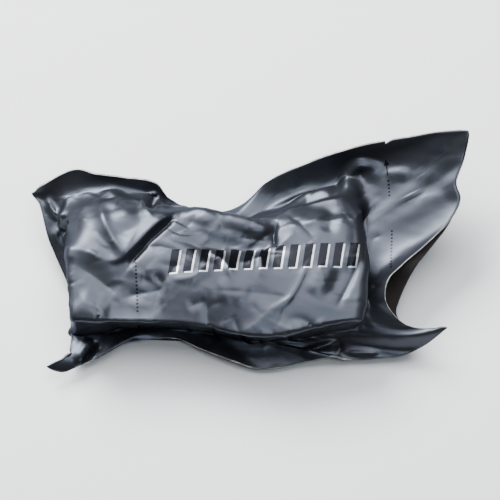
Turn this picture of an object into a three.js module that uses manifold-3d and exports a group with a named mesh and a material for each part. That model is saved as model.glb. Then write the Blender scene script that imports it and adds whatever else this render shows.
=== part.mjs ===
// Emergency trauma bandage: a rolled six inch bandage, still sealed in its vacuum pouch.
// Two foil films are shrunk over the pressed roll and follow each other in the free margin round it.
// Millimetres. X runs along the roll, Y from the near side to the far side, Z up from the table.
import * as THREE from 'three';
import { mergeVertices } from 'three/addons/utils/BufferGeometryUtils.js';
import Module from 'manifold-3d';

// Driving sizes of the roll
const rollLength = 152;
const rollWidth = 60;
const rollHeight = 29;
const rollEndRound = 10;
const rollSteps = 6;
const rollCurve = 6;
const rollBevel = 2;

// Driving sizes of the two films
const filmWall = 1;
const pieceGap = 0.3;
const endSlack = 1.8;
const sideSlack = 2.5;
const foldDepth = 5;
const foldWidth = 10;
const crown = 2;
const endShoulder = 7;
const nearShoulder = 5;
const farShoulder = 9;
const nearDrop = 5;
const marginWidth = 50;

// The pressed roll bends towards its near side, most of all at a share of its half length
const bendDepth = 8;
const bendPlace = 0.28;
const bendReach = 0.38;

// Tear notch in the far margin
const notchDepth = 2.4;
const notchWidth = 3;
const notchPlace = 2.19;
const notchHold = 0.9;
const notchStep = 0.04;
const notchReach = 2.8;

// Sizes that follow from the ones above
const halfLength = rollLength / 2 + endSlack;
const halfWidth = rollWidth / 2 + sideSlack;
const floorHeight = filmWall + pieceGap / 2;
const rollTop = filmWall + pieceGap + rollHeight;
const blockHeight = rollTop + pieceGap / 2 + foldDepth;

// How the films are divided: rings of cells run from the middle of the block to the films' edge
const topRing = 0.6;
const baseRing = 0.8;
const arcShare = 0.7;
const cornerSquash = 0.07;
const cornerPower = 6;
const flareEase = 0.45;
const nearPower = 2;
const mitreLimit = 0.7;
const foldPower = 1.5;
const cells = { topAlong: 32, topAcross: 12, wall: 4, margin: 4 };

// The films' edge, once round from the near left corner. Round counts one for each side of the block.
// outX and outY are shares of the margin width beyond the block's straight sides, rise is the edge's
// height above the table as a share of the same width.
const edgeRows = [
  // round, outX, outY, rise
  [0.00, -0.21, -0.33, 0.21],
  [0.04, -0.18, -0.36, 0.12],
  [0.09, -0.15, -0.29, 0.12],
  [0.15, -0.10, -0.18, 0.14],
  [0.20, -0.04, -0.05, 0.13],
  [0.27, 0.03, 0.00, 0.12],
  [0.34, 0.07, 0.00, 0.12],
  [0.41, 0.09, -0.11, 0.13],
  [0.48, 0.19, -0.24, 0.14],
  [0.54, 0.31, -0.32, 0.10],
  [0.66, 0.43, -0.24, 0.13],
  [0.715, 0.50, -0.21, 0.18],
  [0.76, 0.52, -0.22, 0.11],
  [0.84, 0.64, -0.20, 0.12],
  [0.90, 0.66, -0.18, 0.14],
  [0.95, 0.71, -0.10, 0.20],
  [1.00, 0.78, 0.02, 0.40],
  [1.05, 0.64, -0.03, 0.35],
  [1.10, 0.47, -0.08, 0.33],
  [1.16, 0.32, -0.11, 0.37],
  [1.22, 0.21, -0.09, 0.44],
  [1.29, 0.15, -0.07, 0.54],
  [1.36, 0.18, 0.02, 0.58],
  [1.44, 0.32, 0.07, 0.56],
  [1.54, 0.57, 0.18, 0.54],
  [1.63, 0.80, 0.28, 0.56],
  [1.72, 0.93, 0.41, 0.60],
  [1.80, 0.89, 0.49, 0.64],
  [1.88, 0.97, 0.61, 0.70],
  [2.00, 1.01, 0.72, 0.84],
  [2.14, 0.84, 0.70, 0.72],
  [2.28, 0.67, 0.61, 0.64],
  [2.38, 0.46, 0.44, 0.56],
  [2.45, 0.34, 0.30, 0.46],
  [2.50, 0.27, 0.14, 0.26],
  [2.55, 0.22, 0.06, 0.20],
  [2.62, 0.13, 0.06, 0.24],
  [2.69, 0.07, 0.13, 0.44],
  [2.73, 0.06, 0.24, 0.60],
  [2.80, -0.04, 0.29, 0.62],
  [2.87, -0.12, 0.33, 0.62],
  [2.92, -0.20, 0.38, 0.60],
  [2.97, -0.38, 0.24, 0.50],
  [3.00, -0.38, 0.20, 0.40],
  [3.10, -0.30, 0.19, 0.38],
  [3.27, -0.22, 0.12, 0.30],
  [3.45, -0.10, 0.10, 0.18],
  [3.58, -0.03, 0.04, 0.13],
  [3.72, -0.01, -0.02, 0.12],
  [3.84, 0.00, -0.06, 0.12],
  [3.90, 0.01, -0.10, 0.13],
  [3.94, 0.02, -0.20, 0.15],
  [3.97, 0.00, -0.25, 0.18],
];

// Where the free margin leaves the block. Leave is a share of the block's height, tuck is how far the
// block's side leans in below its shoulder, or flares out where it is negative, as a share of the
// shoulder radius. Bow is how far the margin bellies up in its middle, and sway how far it bends
// sideways, as shares of the margin width.
const marginRows = [
  // round, leave, tuck, bow, swayX, swayY
  [0.00, 0.17, 0.20, 0.02, 0.18, 0.0],
  [0.06, 0.17, 0.40, 0.02, 0.11, 0.0],
  [0.15, 0.17, 0.60, 0.02, 0.05, 0.0],
  [0.34, 0.17, 0.60, 0.0, 0.0, 0.0],
  [0.50, 0.14, 0.55, 0.02, 0.0, 0.0],
  [0.76, 0.14, 0.4, 0.0, 0.0, 0.0],
  [0.92, 0.18, 0.1, -0.02, 0.0, -0.03],
  [1.00, 0.22, 0.0, -0.04, 0.0, -0.08],
  [1.10, 0.26, 0.0, -0.04, 0.0, -0.05],
  [1.50, 0.34, 0.0, -0.04, 0.0, 0.0],
  [1.90, 0.42, 0.0, -0.06, 0.0, 0.0],
  [2.00, 0.50, -0.3, -0.08, 0.0, 0.0],
  [2.08, 0.56, -1.3, -0.10, 0.0, 0.0],
  [2.21, 0.50, -1.1, -0.14, 0.0, 0.0],
  [2.34, 0.50, -0.6, -0.12, 0.0, 0.0],
  [2.42, 0.55, -0.1, -0.08, 0.0, 0.0],
  [2.55, 0.60, 0.0, 0.0, 0.0, 0.0],
  [2.66, 0.60, -0.3, 0.0, 0.0, 0.0],
  [2.76, 0.66, -0.8, -0.04, 0.0, 0.0],
  [2.90, 0.68, -0.9, -0.05, 0.0, 0.0],
  [3.00, 0.60, -0.8, -0.05, 0.0, 0.0],
  [3.10, 0.50, -0.5, -0.02, 0.0, 0.0],
  [3.25, 0.38, -0.2, 0.0, 0.0, 0.0],
  [3.45, 0.22, 0.0, 0.0, 0.0, 0.0],
  [3.70, 0.19, 0.1, 0.0, 0.0, 0.0],
  [3.90, 0.17, 0.1, 0.0, 0.0, 0.0],
  [3.97, 0.17, 0.1, 0.0, 0.05, 0.0],
];

// The open mouth: how far the back film's edge parts from the front film's, in the same shares.
const mouthRows = [
  // round, partX, partY, drop
  [1.08, 0.0, 0.0, 0.0],
  [1.16, 0.02, 0.02, -0.12],
  [1.22, 0.06, 0.05, -0.22],
  [1.29, 0.16, 0.10, -0.34],
  [1.36, 0.20, 0.10, -0.38],
  [1.44, 0.15, 0.10, -0.34],
  [1.54, 0.05, 0.03, -0.20],
  [1.66, 0.0, 0.0, 0.0],
];

// Folds and creases of the film. Places are shares of the block's half length and half width,
// height is a share of the fold depth, up or down, and width a share of the fold width.
const foldRows = [
  // fromX, fromY, byX, byY, toX, toY, height, width
  [-1.04, 0.18, -0.75, -0.01, -0.58, 0.13, 0.7, 0.9],
  [-0.56, 0.18, -0.39, 0.57, -0.28, 0.76, 0.9, 0.8],
  [-0.25, 0.70, -0.44, 0.34, -0.66, -0.26, -1.0, 0.8],
  [-0.79, 0.67, -0.76, 0.38, -0.67, 0.10, 0.6, 0.5],
  [-0.79, 0.94, -0.65, 0.84, -0.80, 0.70, 0.5, 0.7],
  [-0.50, 0.90, -0.46, 0.75, -0.47, 0.62, -0.9, 0.6],
  [-0.27, 0.77, 0.12, 0.62, 0.36, 0.44, 1.0, 0.8],
  [-0.16, 0.22, 0.18, 0.23, 0.48, 0.25, -0.7, 0.9],
  [0.38, 0.62, 0.36, 0.38, 0.33, 0.22, -0.9, 0.6],
  [0.40, 0.57, 0.57, 0.74, 0.83, 0.92, 0.9, 0.9],
  [0.83, 0.92, 0.85, 1.26, 1.00, 1.40, 0.9, 0.8],
  [0.32, 0.80, 0.57, 1.06, 0.84, 1.43, 0.6, 0.8],
  [0.95, 1.30, 0.96, 1.16, 0.97, 0.92, -0.9, 0.9],
  [-0.66, -0.55, -0.50, -0.46, -0.30, -0.40, -0.4, 0.6],
  [-1.10, 0.98, -1.03, 0.78, -1.07, 0.40, 0.8, 0.7],
  [-0.80, -1.08, -0.86, -1.25, -0.94, -1.45, -0.5, 0.9],
  [0.53, -1.09, 0.66, -1.02, 0.80, -0.95, 0.7, 0.6],
  [1.00, 0.51, 1.06, 0.51, 1.12, 0.50, -0.4, 0.5],
  [1.06, -1.05, 1.22, -1.08, 1.40, -1.02, -0.4, 0.8],
];

// Broad swells and hollows of the block's upper side. Reach is a share of the half width.
const swellRows = [
  // x, y, reach, height
  [-0.72, 0.45, 0.75, 0.5],
  [-0.72, -0.45, 0.6, -0.2],
  [0.0, -0.35, 0.8, 0.25],
  [0.10, 0.30, 0.5, -0.3],
  [0.60, 0.40, 0.6, 0.3],
  [0.62, -0.50, 0.7, 0.2],
];

const clamp01 = (value) => Math.min(1, Math.max(0, value));
const smooth = (value) => clamp01(value) ** 2 * (3 - 2 * clamp01(value));
const mix = (from, to, share) => from + (to - from) * share;

// Reads one column of a table by smooth interpolation. A closed table runs once round the block.
function readTable(rows, round, column, closed = true) {
  const count = rows.length;
  if (!closed && (round <= rows[0][0] || round >= rows[count - 1][0])) return 0;
  let next = rows.findIndex((row) => row[0] > round);
  if (next < 0) next = count;
  const row = (index) => {
    if (!closed) return rows[Math.min(count - 1, Math.max(0, index))];
    const turn = Math.floor(index / count);
    const entry = rows[index - turn * count];
    return [entry[0] + 4 * turn, ...entry.slice(1)];
  };
  const [before, from, to, after] = [-2, -1, 0, 1].map((step) => row(next + step));
  const span = to[0] - from[0];
  const slopeFrom = (to[column] - before[column]) / Math.max(to[0] - before[0], span);
  const slopeTo = (after[column] - from[column]) / Math.max(after[0] - from[0], span);
  const t = (round - from[0]) / span;
  const bend = t * (1 - t) * span;
  return mix(from[column], to[column], t * t * (3 - 2 * t)) + bend * (slopeFrom * (1 - t) - slopeTo * t);
}

// Place on the rim of the unit square: 0 at the near left corner, one for each side.
function roundOf(a, b) {
  if (b <= -1) return (a + 1) / 2;
  if (a >= 1) return 1 + (b + 1) / 2;
  if (b >= 1) return 2 + (1 - a) / 2;
  return 3 + (1 - b) / 2;
}

// Distance in the plan from a point to the line through a fold's three places. Each leg of the line
// starts at a column of the fold's row.
const firstLeg = 0;
const secondLeg = 2;

function foldDistance(x, y, row) {
  let nearest = Infinity;
  for (const start of [firstLeg, secondLeg]) {
    const from = [row[start] * halfLength, row[start + 1] * halfWidth];
    const along = [row[start + 2] * halfLength - from[0], row[start + 3] * halfWidth - from[1]];
    const reach = ((x - from[0]) * along[0] + (y - from[1]) * along[1]) / (along[0] ** 2 + along[1] ** 2);
    const t = clamp01(reach);
    nearest = Math.min(nearest, Math.hypot(x - from[0] - t * along[0], y - from[1] - t * along[1]));
  }
  return nearest;
}

// Height of all folds at a place in the plan, never deeper than the room over the roll.
function foldHeight(x, y) {
  let height = 0;
  for (const row of foldRows) {
    const nearness = Math.max(0, 1 - foldDistance(x, y, row) / (row[7] * foldWidth));
    height += row[6] * foldDepth * nearness ** foldPower;
  }
  return Math.max(height, nearSlope(x, y) - foldDepth);
}

function swellHeight(x, y) {
  let height = 0;
  for (const [placeX, placeY, reach, share] of swellRows) {
    const far = Math.hypot(x - placeX * halfLength, y - placeY * halfWidth) / (reach * halfWidth);
    height += share * foldDepth * Math.exp(-far * far);
  }
  return height;
}

// How far the bent roll lies towards its near side at a place along it.
function bendAt(x) {
  return bendDepth * Math.exp(-(((x / halfLength - bendPlace) / bendReach) ** 2));
}

// How far the block's top falls towards its near side.
function nearSlope(x, y) {
  return nearDrop * clamp01(-(y + bendAt(x)) / halfWidth) ** nearPower;
}

// A place on the block's side or top. Inset is a share of the shoulder radius on each side.
function blockPlan(a, b, inset) {
  const shoulder = mix(nearShoulder, farShoulder, (b + 1) / 2);
  const x = (halfLength - inset * endShoulder) * a * Math.sqrt(1 - cornerSquash * b * b);
  const y = (halfWidth - inset * shoulder) * b * Math.sqrt(1 - cornerSquash * a * a);
  return [x, y - bendAt(x)];
}

// A place in the free margin: t runs from the block's side to the film's edge.
function marginPoint(a, b, t, parted) {
  const round = roundOf(a, b);
  const readMargin = (column) => readTable(marginRows, round, column);
  const readEdge = (column) => readTable(edgeRows, round, column) * marginWidth;
  const readMouth = (column) => readTable(mouthRows, round, column, false) * marginWidth;
  const [leave, tuck, bow, swayX, swayY] = [1, 2, 3, 4, 5].map(readMargin);
  const [outX, outY, rise] = [1, 2, 3].map(readEdge);
  const [partX, partY, drop] = [1, 2, 3].map(readMouth);
  const [baseX, baseY] = blockPlan(a, b, tuck);
  const opened = parted ? t * t : 0;
  const middle = 4 * t * (1 - t) * marginWidth;
  return new THREE.Vector3(
    mix(baseX, halfLength * a + outX, t) + swayX * middle + partX * opened,
    mix(baseY, halfWidth * b + outY, t) + swayY * middle + partY * opened,
    mix(leave * blockHeight, rise, t) + bow * middle + drop * opened,
  );
}

// The middle of the pair of films before folding, for one place of the grid.
function filmPoint(p, q, front) {
  const ring = Math.max(Math.abs(p), Math.abs(q));
  if (ring <= topRing) {
    const [a, b] = [p / topRing, q / topRing];
    const [x, y] = blockPlan(a, b, 1);
    const dome = crown * (1 - a * a) * (1 - b * b);
    const height = blockHeight + dome + swellHeight(x, y) - nearSlope(x, y);
    return new THREE.Vector3(x, y, front ? height : floorHeight);
  }
  const [a, b] = [p / ring, q / ring];
  if (ring > baseRing) return marginPoint(a, b, (ring - baseRing) / (1 - baseRing), !front);
  const wall = (ring - topRing) / (baseRing - topRing);
  const leave = readTable(marginRows, roundOf(a, b), 1) * blockHeight;
  const tuck = readTable(marginRows, roundOf(a, b), 2);
  const turn = (clamp01(front ? wall / arcShare : wall) * Math.PI) / 2;
  if (!front) {
    const [x, y] = blockPlan(a, b, mix(1, tuck, Math.sin(turn)));
    return new THREE.Vector3(x, y, mix(floorHeight, leave, 1 - Math.cos(turn)));
  }
  const fall = clamp01((wall - arcShare) / (1 - arcShare));
  const [x, y] = blockPlan(a, b, 1 - Math.sin(turn) + tuck * fall);
  const endward = Math.abs(a) >= 1 ? 1 - b ** cornerPower / 2 : a ** cornerPower / 2;
  const sideRadius = mix(nearShoulder, farShoulder, (b + 1) / 2);
  const radius = mix(sideRadius, endShoulder, endward) * (1 - flareEase * clamp01(-tuck));
  const drop = radius * (1 - Math.cos(turn)) + nearSlope(x, y);
  const shoulder = blockHeight - drop + swellHeight(x, y) * (1 - wall);
  return new THREE.Vector3(x, y, mix(shoulder, leave, fall));
}

// How much of the folds shows at a ring: none at the seam, where the two films meet the block.
function foldShare(ring, front) {
  if (ring > baseRing) return smooth((ring - baseRing) / (1 - baseRing) * 2);
  return front ? smooth((baseRing - ring) / (baseRing - topRing) * 1.5) : 0;
}

function gridLines(topCells) {
  const half = [];
  for (let i = 0; i < cells.margin; i += 1) half.push(mix(1, baseRing, i / cells.margin));
  for (let i = 0; i < cells.wall; i += 1) half.push(mix(baseRing, topRing, i / cells.wall));
  const middle = Array.from({ length: topCells + 1 }, (_, i) => mix(-topRing, topRing, i / topCells));
  return [...half.map((line) => -line), ...middle, ...half.reverse()];
}

const alongLines = gridLines(cells.topAlong);
const acrossLines = gridLines(cells.topAcross);

// Mitred normals of a grid of points, towards the film's upper side. Each is the mean of the corner
// normals round the point, lengthened so that an offset along it keeps the film's full thickness.
function gridNormals(grid) {
  const [nx, ny] = [grid.length, grid[0].length];
  return grid.map((column, i) => column.map((point, j) => {
    const corners = [];
    for (const [stepX, stepY] of [[1, 1], [1, -1], [-1, 1], [-1, -1]]) {
      const [nextX, nextY] = [i + stepX, j + stepY];
      if (nextX < 0 || nextX >= nx || nextY < 0 || nextY >= ny) continue;
      const along = grid[nextX][j].clone().sub(point).multiplyScalar(stepX);
      const across = grid[i][nextY].clone().sub(point).multiplyScalar(stepY);
      corners.push(along.cross(across).normalize());
    }
    const normal = corners.reduce((sum, corner) => sum.add(corner), new THREE.Vector3()).normalize();
    const spread = corners.reduce((least, corner) => Math.min(least, corner.dot(normal)), 1);
    return normal.divideScalar(Math.max(spread, mitreLimit));
  }));
}

// The folded surface midway between the two films. Both films read the same folds in the margin.
function foldedGrid(front) {
  const plain = alongLines.map((p) => acrossLines.map((q) => filmPoint(p, q, front)));
  const shared = front ? plain : alongLines.map((p) => acrossLines.map((q) => filmPoint(p, q, true)));
  const normals = gridNormals(shared);
  return plain.map((column, i) => column.map((point, j) => {
    const ring = Math.max(Math.abs(alongLines[i]), Math.abs(acrossLines[j]));
    const height = foldHeight(shared[i][j].x, shared[i][j].y) * foldShare(ring, front);
    const inward = ring > topRing && ring < baseRing && height < 0;
    return point.clone().addScaledVector(normals[i][j].clone().normalize(), inward ? 0 : height);
  }));
}

// One closed sheet with the film's wall, on the upper or the lower side of the folded surface.
function filmGeometry(front) {
  const grid = foldedGrid(front);
  const normals = gridNormals(grid);
  const side = front ? 1 : -1;
  const offsets = [side * (pieceGap / 2), side * (pieceGap / 2 + filmWall)];
  const [nx, ny] = [grid.length, grid[0].length];
  const positions = offsets.flatMap((offset) => grid.flatMap((column, i) => column.flatMap(
    (point, j) => point.clone().addScaledVector(normals[i][j], offset).toArray(),
  )));
  const vertex = (layer, i, j) => layer * nx * ny + i * ny + j;
  const faces = [];
  const triangle = (a, b, c) => faces.push(...(front ? [a, b, c] : [c, b, a]));
  const quad = (a, b, c, d) => {
    triangle(a, b, c);
    triangle(a, c, d);
  };
  for (let i = 0; i < nx - 1; i += 1) {
    for (let j = 0; j < ny - 1; j += 1) {
      // Each cell is split along the line that runs out to the block's corner, so the corners stay whole.
      const radial = (2 * i + 1 < nx - 1) === (2 * j + 1 < ny - 1);
      const corners = [[i, j], [i + 1, j], [i + 1, j + 1], [i, j + 1]];
      const [a, b, c, d] = radial ? corners : [...corners.slice(1), corners[0]];
      quad(...[a, b, c, d].map((corner) => vertex(1, ...corner)));
      quad(...[a, d, c, b].map((corner) => vertex(0, ...corner)));
    }
  }
  for (let i = 0; i < nx - 1; i += 1) {
    quad(vertex(0, i, 0), vertex(0, i + 1, 0), vertex(1, i + 1, 0), vertex(1, i, 0));
    quad(vertex(1, i, ny - 1), vertex(1, i + 1, ny - 1), vertex(0, i + 1, ny - 1), vertex(0, i, ny - 1));
  }
  for (let j = 0; j < ny - 1; j += 1) {
    quad(vertex(1, 0, j), vertex(1, 0, j + 1), vertex(0, 0, j + 1), vertex(0, 0, j));
    quad(vertex(0, nx - 1, j), vertex(0, nx - 1, j + 1), vertex(1, nx - 1, j + 1), vertex(1, nx - 1, j));
  }
  const geometry = new THREE.BufferGeometry();
  geometry.setAttribute('position', new THREE.Float32BufferAttribute(positions, 3));
  geometry.setIndex(faces);
  return geometry;
}

const wasm = await Module();
wasm.setup();

function toSolid(geometry) {
  const bare = geometry.clone();
  bare.deleteAttribute('normal');
  bare.deleteAttribute('uv');
  const merged = mergeVertices(bare);
  const vertProperties = merged.attributes.position.array;
  const triVerts = new Uint32Array(merged.index.array);
  return new wasm.Manifold(new wasm.Mesh({ numProp: 3, vertProperties, triVerts }));
}

function toGeometry(solid) {
  const mesh = solid.getMesh();
  const geometry = new THREE.BufferGeometry();
  geometry.setAttribute('position', new THREE.BufferAttribute(new Float32Array(mesh.vertProperties), 3));
  geometry.setIndex(Array.from(mesh.triVerts));
  return geometry;
}

// The wedge that cuts the tear notch through both films, pointing in from the far edge.
function notchWedge() {
  const a = 1 - 2 * (notchPlace - 2);
  const tip = marginPoint(a, 1, 1, false);
  const inward = marginPoint(a, 1, notchHold, false).sub(tip).normalize();
  const edgeStep = marginPoint(a - notchStep, 1, 1, false).sub(tip).normalize();
  const through = new THREE.Vector3().crossVectors(edgeStep, inward).normalize();
  const sideways = new THREE.Vector3().crossVectors(inward, through).normalize();
  const wedge = new THREE.Shape();
  wedge.moveTo(-notchWidth, -notchDepth);
  wedge.lineTo(notchWidth, -notchDepth);
  wedge.lineTo(0, notchDepth);
  wedge.closePath();
  const depth = notchReach * foldDepth;
  const geometry = new THREE.ExtrudeGeometry(wedge, { depth, bevelEnabled: false });
  geometry.translate(0, 0, -depth / 2);
  geometry.applyMatrix4(new THREE.Matrix4().makeBasis(sideways, inward, through).setPosition(tip));
  return toSolid(geometry);
}

function filmWithNotch(front) {
  return toGeometry(toSolid(filmGeometry(front)).subtract(notchWedge()));
}

// The pressed roll: a flat oval section with rounded ends, lying bent along X on the back film.
function rollGeometry() {
  const radius = rollHeight / 2;
  const straight = rollWidth / 2 - radius;
  const oval = new THREE.Shape();
  oval.absarc(straight, 0, radius, -Math.PI / 2, Math.PI / 2);
  oval.absarc(-straight, 0, radius, Math.PI / 2, (3 * Math.PI) / 2);
  const geometry = new THREE.ExtrudeGeometry(oval, {
    depth: rollLength - 2 * rollEndRound,
    steps: rollSteps,
    curveSegments: rollCurve,
    bevelThickness: rollEndRound,
    bevelSize: rollEndRound,
    bevelOffset: -rollEndRound,
    bevelSegments: rollBevel,
  });
  geometry.translate(0, 0, -(rollLength / 2 - rollEndRound));
  geometry.rotateX(Math.PI / 2);
  geometry.rotateZ(Math.PI / 2);
  geometry.translate(0, 0, filmWall + pieceGap + radius);
  const places = geometry.attributes.position;
  for (let i = 0; i < places.count; i += 1) places.setY(i, places.getY(i) - bendAt(places.getX(i)));
  return geometry;
}

function piece(name, geometry, color, roughness, metalness) {
  const mesh = new THREE.Mesh(geometry, new THREE.MeshStandardMaterial({ color, roughness, metalness }));
  mesh.name = name;
  return mesh;
}

const bandage = new THREE.Group();
bandage.add(
  piece('front_film', filmWithNotch(true), 0x555b68, 0.32, 0.6),
  piece('back_film', filmWithNotch(false), 0x3a3c43, 0.38, 0.5),
  piece('bandage_roll', rollGeometry(), 0xb9b39a, 0.9, 0),
);

// The origin lies under the middle of the whole pouch.
const box = new THREE.Box3().setFromObject(bandage);
const middle = box.getCenter(new THREE.Vector3());
bandage.position.set(-middle.x, -middle.y, -box.min.z);

export default bandage;
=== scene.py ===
"""Looks of the sealed trauma bandage: two creased foil films, shrunk over a pressed roll.

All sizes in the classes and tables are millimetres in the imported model's frame, unless said otherwise.
"""

import logging
import math
from dataclasses import dataclass
from enum import Enum

import bpy
import numpy as np
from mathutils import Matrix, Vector

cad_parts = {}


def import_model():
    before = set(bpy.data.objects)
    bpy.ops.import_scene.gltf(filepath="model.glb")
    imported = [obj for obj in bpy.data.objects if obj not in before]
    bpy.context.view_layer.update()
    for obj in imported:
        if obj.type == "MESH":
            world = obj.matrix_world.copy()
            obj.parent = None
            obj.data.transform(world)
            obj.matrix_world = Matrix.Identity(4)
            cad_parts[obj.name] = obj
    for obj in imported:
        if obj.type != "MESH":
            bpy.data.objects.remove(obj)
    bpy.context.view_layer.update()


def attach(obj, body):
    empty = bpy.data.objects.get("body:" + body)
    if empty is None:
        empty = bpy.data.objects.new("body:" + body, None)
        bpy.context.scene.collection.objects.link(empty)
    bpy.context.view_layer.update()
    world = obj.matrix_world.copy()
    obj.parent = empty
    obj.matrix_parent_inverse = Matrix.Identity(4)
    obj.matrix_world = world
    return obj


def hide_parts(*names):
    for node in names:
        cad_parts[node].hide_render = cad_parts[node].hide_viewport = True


LOG = logging.getLogger("bandage")
MM = 0.001
TINY = 1e-9
PLAN_MAP = "film_plan"

Array = np.ndarray
Socket = bpy.types.NodeSocket
Place = tuple[float, float, float]
Colour = tuple[float, float, float]


class FilmSide(Enum):
    """Which of the pouch's two films a piece is."""

    FRONT = 1
    BACK = -1


class Profile(Enum):
    """Section of a fold: a sharp crease, or a soft round one."""

    CREASE = "crease"
    ROUND = "round"


@dataclass(frozen=True)
class PouchSizes:
    """Driving sizes of the pouch and its roll. The roll, its bend and the block are as in the solids."""

    roll_length: float = 152.0
    roll_width: float = 60.0
    roll_height: float = 29.0
    solid_wall: float = 1.0
    piece_gap: float = 0.3
    end_slack: float = 1.8
    side_slack: float = 2.5
    fold_depth: float = 5.0
    crown: float = 2.0
    left_shoulder: float = 3.5
    right_shoulder: float = 7.0
    near_shoulder: float = 1.6
    far_shoulder: float = 9.0
    near_drop: float = 2.4
    bend_depth: float = 8.0
    bend_place: float = 0.28
    bend_reach: float = 0.38
    margin_width: float = 50.0
    corner_squash: float = 0.07
    near_reach: float = 1.1
    top_ring: float = 0.6
    base_ring: float = 0.8
    arc_share: float = 0.5
    sinking: float = 0.6
    sinking_ring: float = 0.06
    undercut: float = 0.65
    sharp_turn: float = 0.9
    sharp_hold: int = 8
    soft_corner: float = 0.6
    end_hold: int = 6
    flare_ease: float = 0.45
    film_wall: float = 0.45
    film_gap: float = 0.1
    floor_clearance: float = 0.02
    centre_x: float = -15.8
    centre_y: float = -9.2

    @property
    def half_length(self) -> float:
        """Half the block's length, with the film's slack."""
        return self.roll_length / 2 + self.end_slack

    @property
    def half_width(self) -> float:
        """Half the block's width, with the film's slack."""
        return self.roll_width / 2 + self.side_slack

    @property
    def floor_height(self) -> float:
        """Height of the middle between the two films where the lower one lies under the roll."""
        return self.film_wall + self.film_gap / 2

    def bend_at(self, x: Array) -> Array:
        """How far the bent roll lies towards its near side at a place along it."""
        return self.bend_depth * np.exp(-((x / self.half_length - self.bend_place) / self.bend_reach) ** 2)

    @property
    def block_height(self) -> float:
        """Height of the film over the roll."""
        return self.solid_wall + self.piece_gap * 1.5 + self.roll_height + self.fold_depth


@dataclass(frozen=True)
class Easing:
    """Where the free margin and the flared wall are smoothed, in the grid's own places from -1 to 1."""

    rounds: int = 120
    pull: float = 0.5
    wall_rate: float = 3.0
    margin_rate: float = 2.0
    flare_rate: float = 2.0
    corner_rate: float = 4.0
    corner_reach: float = 0.16
    patch_place: tuple[float, float] = (-0.64, 0.66)
    patch_reach: tuple[float, float] = (0.2, 0.5)
    patch_hold: float = 1.25
    patch_turns: int = 4


@dataclass(frozen=True)
class GridCounts:
    """Cells of a film's grid: over the block, down its walls and out to the edge."""

    along: int = 176
    across: int = 70
    wall_along: int = 20
    wall_across: int = 26
    margin: int = 28


# The films' edge, once round from the near left corner. Round counts one for each side of the block.
# outX and outY are shares of the margin width beyond the block, rise is the edge's height.
EDGE_ROWS = (
    # round, outX, outY, rise
    (0.00, -0.21, -0.33, 0.21),
    (0.04, -0.18, -0.36, 0.12),
    (0.09, -0.15, -0.29, 0.12),
    (0.15, -0.10, -0.18, 0.14),
    (0.20, -0.04, -0.05, 0.13),
    (0.27, 0.03, 0.00, 0.12),
    (0.34, 0.07, 0.00, 0.12),
    (0.41, 0.09, -0.11, 0.13),
    (0.48, 0.19, -0.24, 0.14),
    (0.54, 0.31, -0.32, 0.10),
    (0.66, 0.43, -0.24, 0.13),
    (0.715, 0.50, -0.21, 0.18),
    (0.76, 0.52, -0.22, 0.11),
    (0.84, 0.64, -0.20, 0.12),
    (0.90, 0.66, -0.18, 0.14),
    (0.95, 0.71, -0.10, 0.20),
    (1.00, 0.78, 0.02, 0.40),
    (1.05, 0.64, -0.03, 0.35),
    (1.10, 0.47, -0.08, 0.33),
    (1.16, 0.32, -0.11, 0.37),
    (1.22, 0.21, -0.09, 0.44),
    (1.29, 0.15, -0.07, 0.54),
    (1.36, 0.18, 0.02, 0.58),
    (1.44, 0.32, 0.07, 0.56),
    (1.54, 0.57, 0.18, 0.54),
    (1.63, 0.80, 0.28, 0.56),
    (1.72, 0.93, 0.41, 0.60),
    (1.80, 0.89, 0.49, 0.64),
    (1.88, 0.97, 0.61, 0.70),
    (2.00, 1.01, 0.72, 0.84),
    (2.14, 0.84, 0.70, 0.72),
    (2.28, 0.67, 0.61, 0.64),
    (2.38, 0.46, 0.44, 0.56),
    (2.45, 0.34, 0.30, 0.46),
    (2.50, 0.27, 0.14, 0.26),
    (2.55, 0.22, 0.06, 0.20),
    (2.62, 0.13, 0.06, 0.24),
    (2.69, 0.07, 0.13, 0.44),
    (2.73, 0.06, 0.24, 0.60),
    (2.80, -0.04, 0.29, 0.62),
    (2.87, -0.12, 0.33, 0.62),
    (2.92, -0.20, 0.38, 0.60),
    (2.97, -0.38, 0.24, 0.50),
    (3.00, -0.38, 0.20, 0.40),
    (3.10, -0.30, 0.19, 0.38),
    (3.27, -0.22, 0.12, 0.30),
    (3.45, -0.10, 0.10, 0.18),
    (3.58, 0.01, 0.04, 0.13),
    (3.72, 0.04, -0.02, 0.12),
    (3.84, 0.05, -0.06, 0.12),
    (3.90, 0.04, -0.10, 0.13),
    (3.94, 0.02, -0.20, 0.15),
    (3.97, 0.00, -0.25, 0.18),
)

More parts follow.
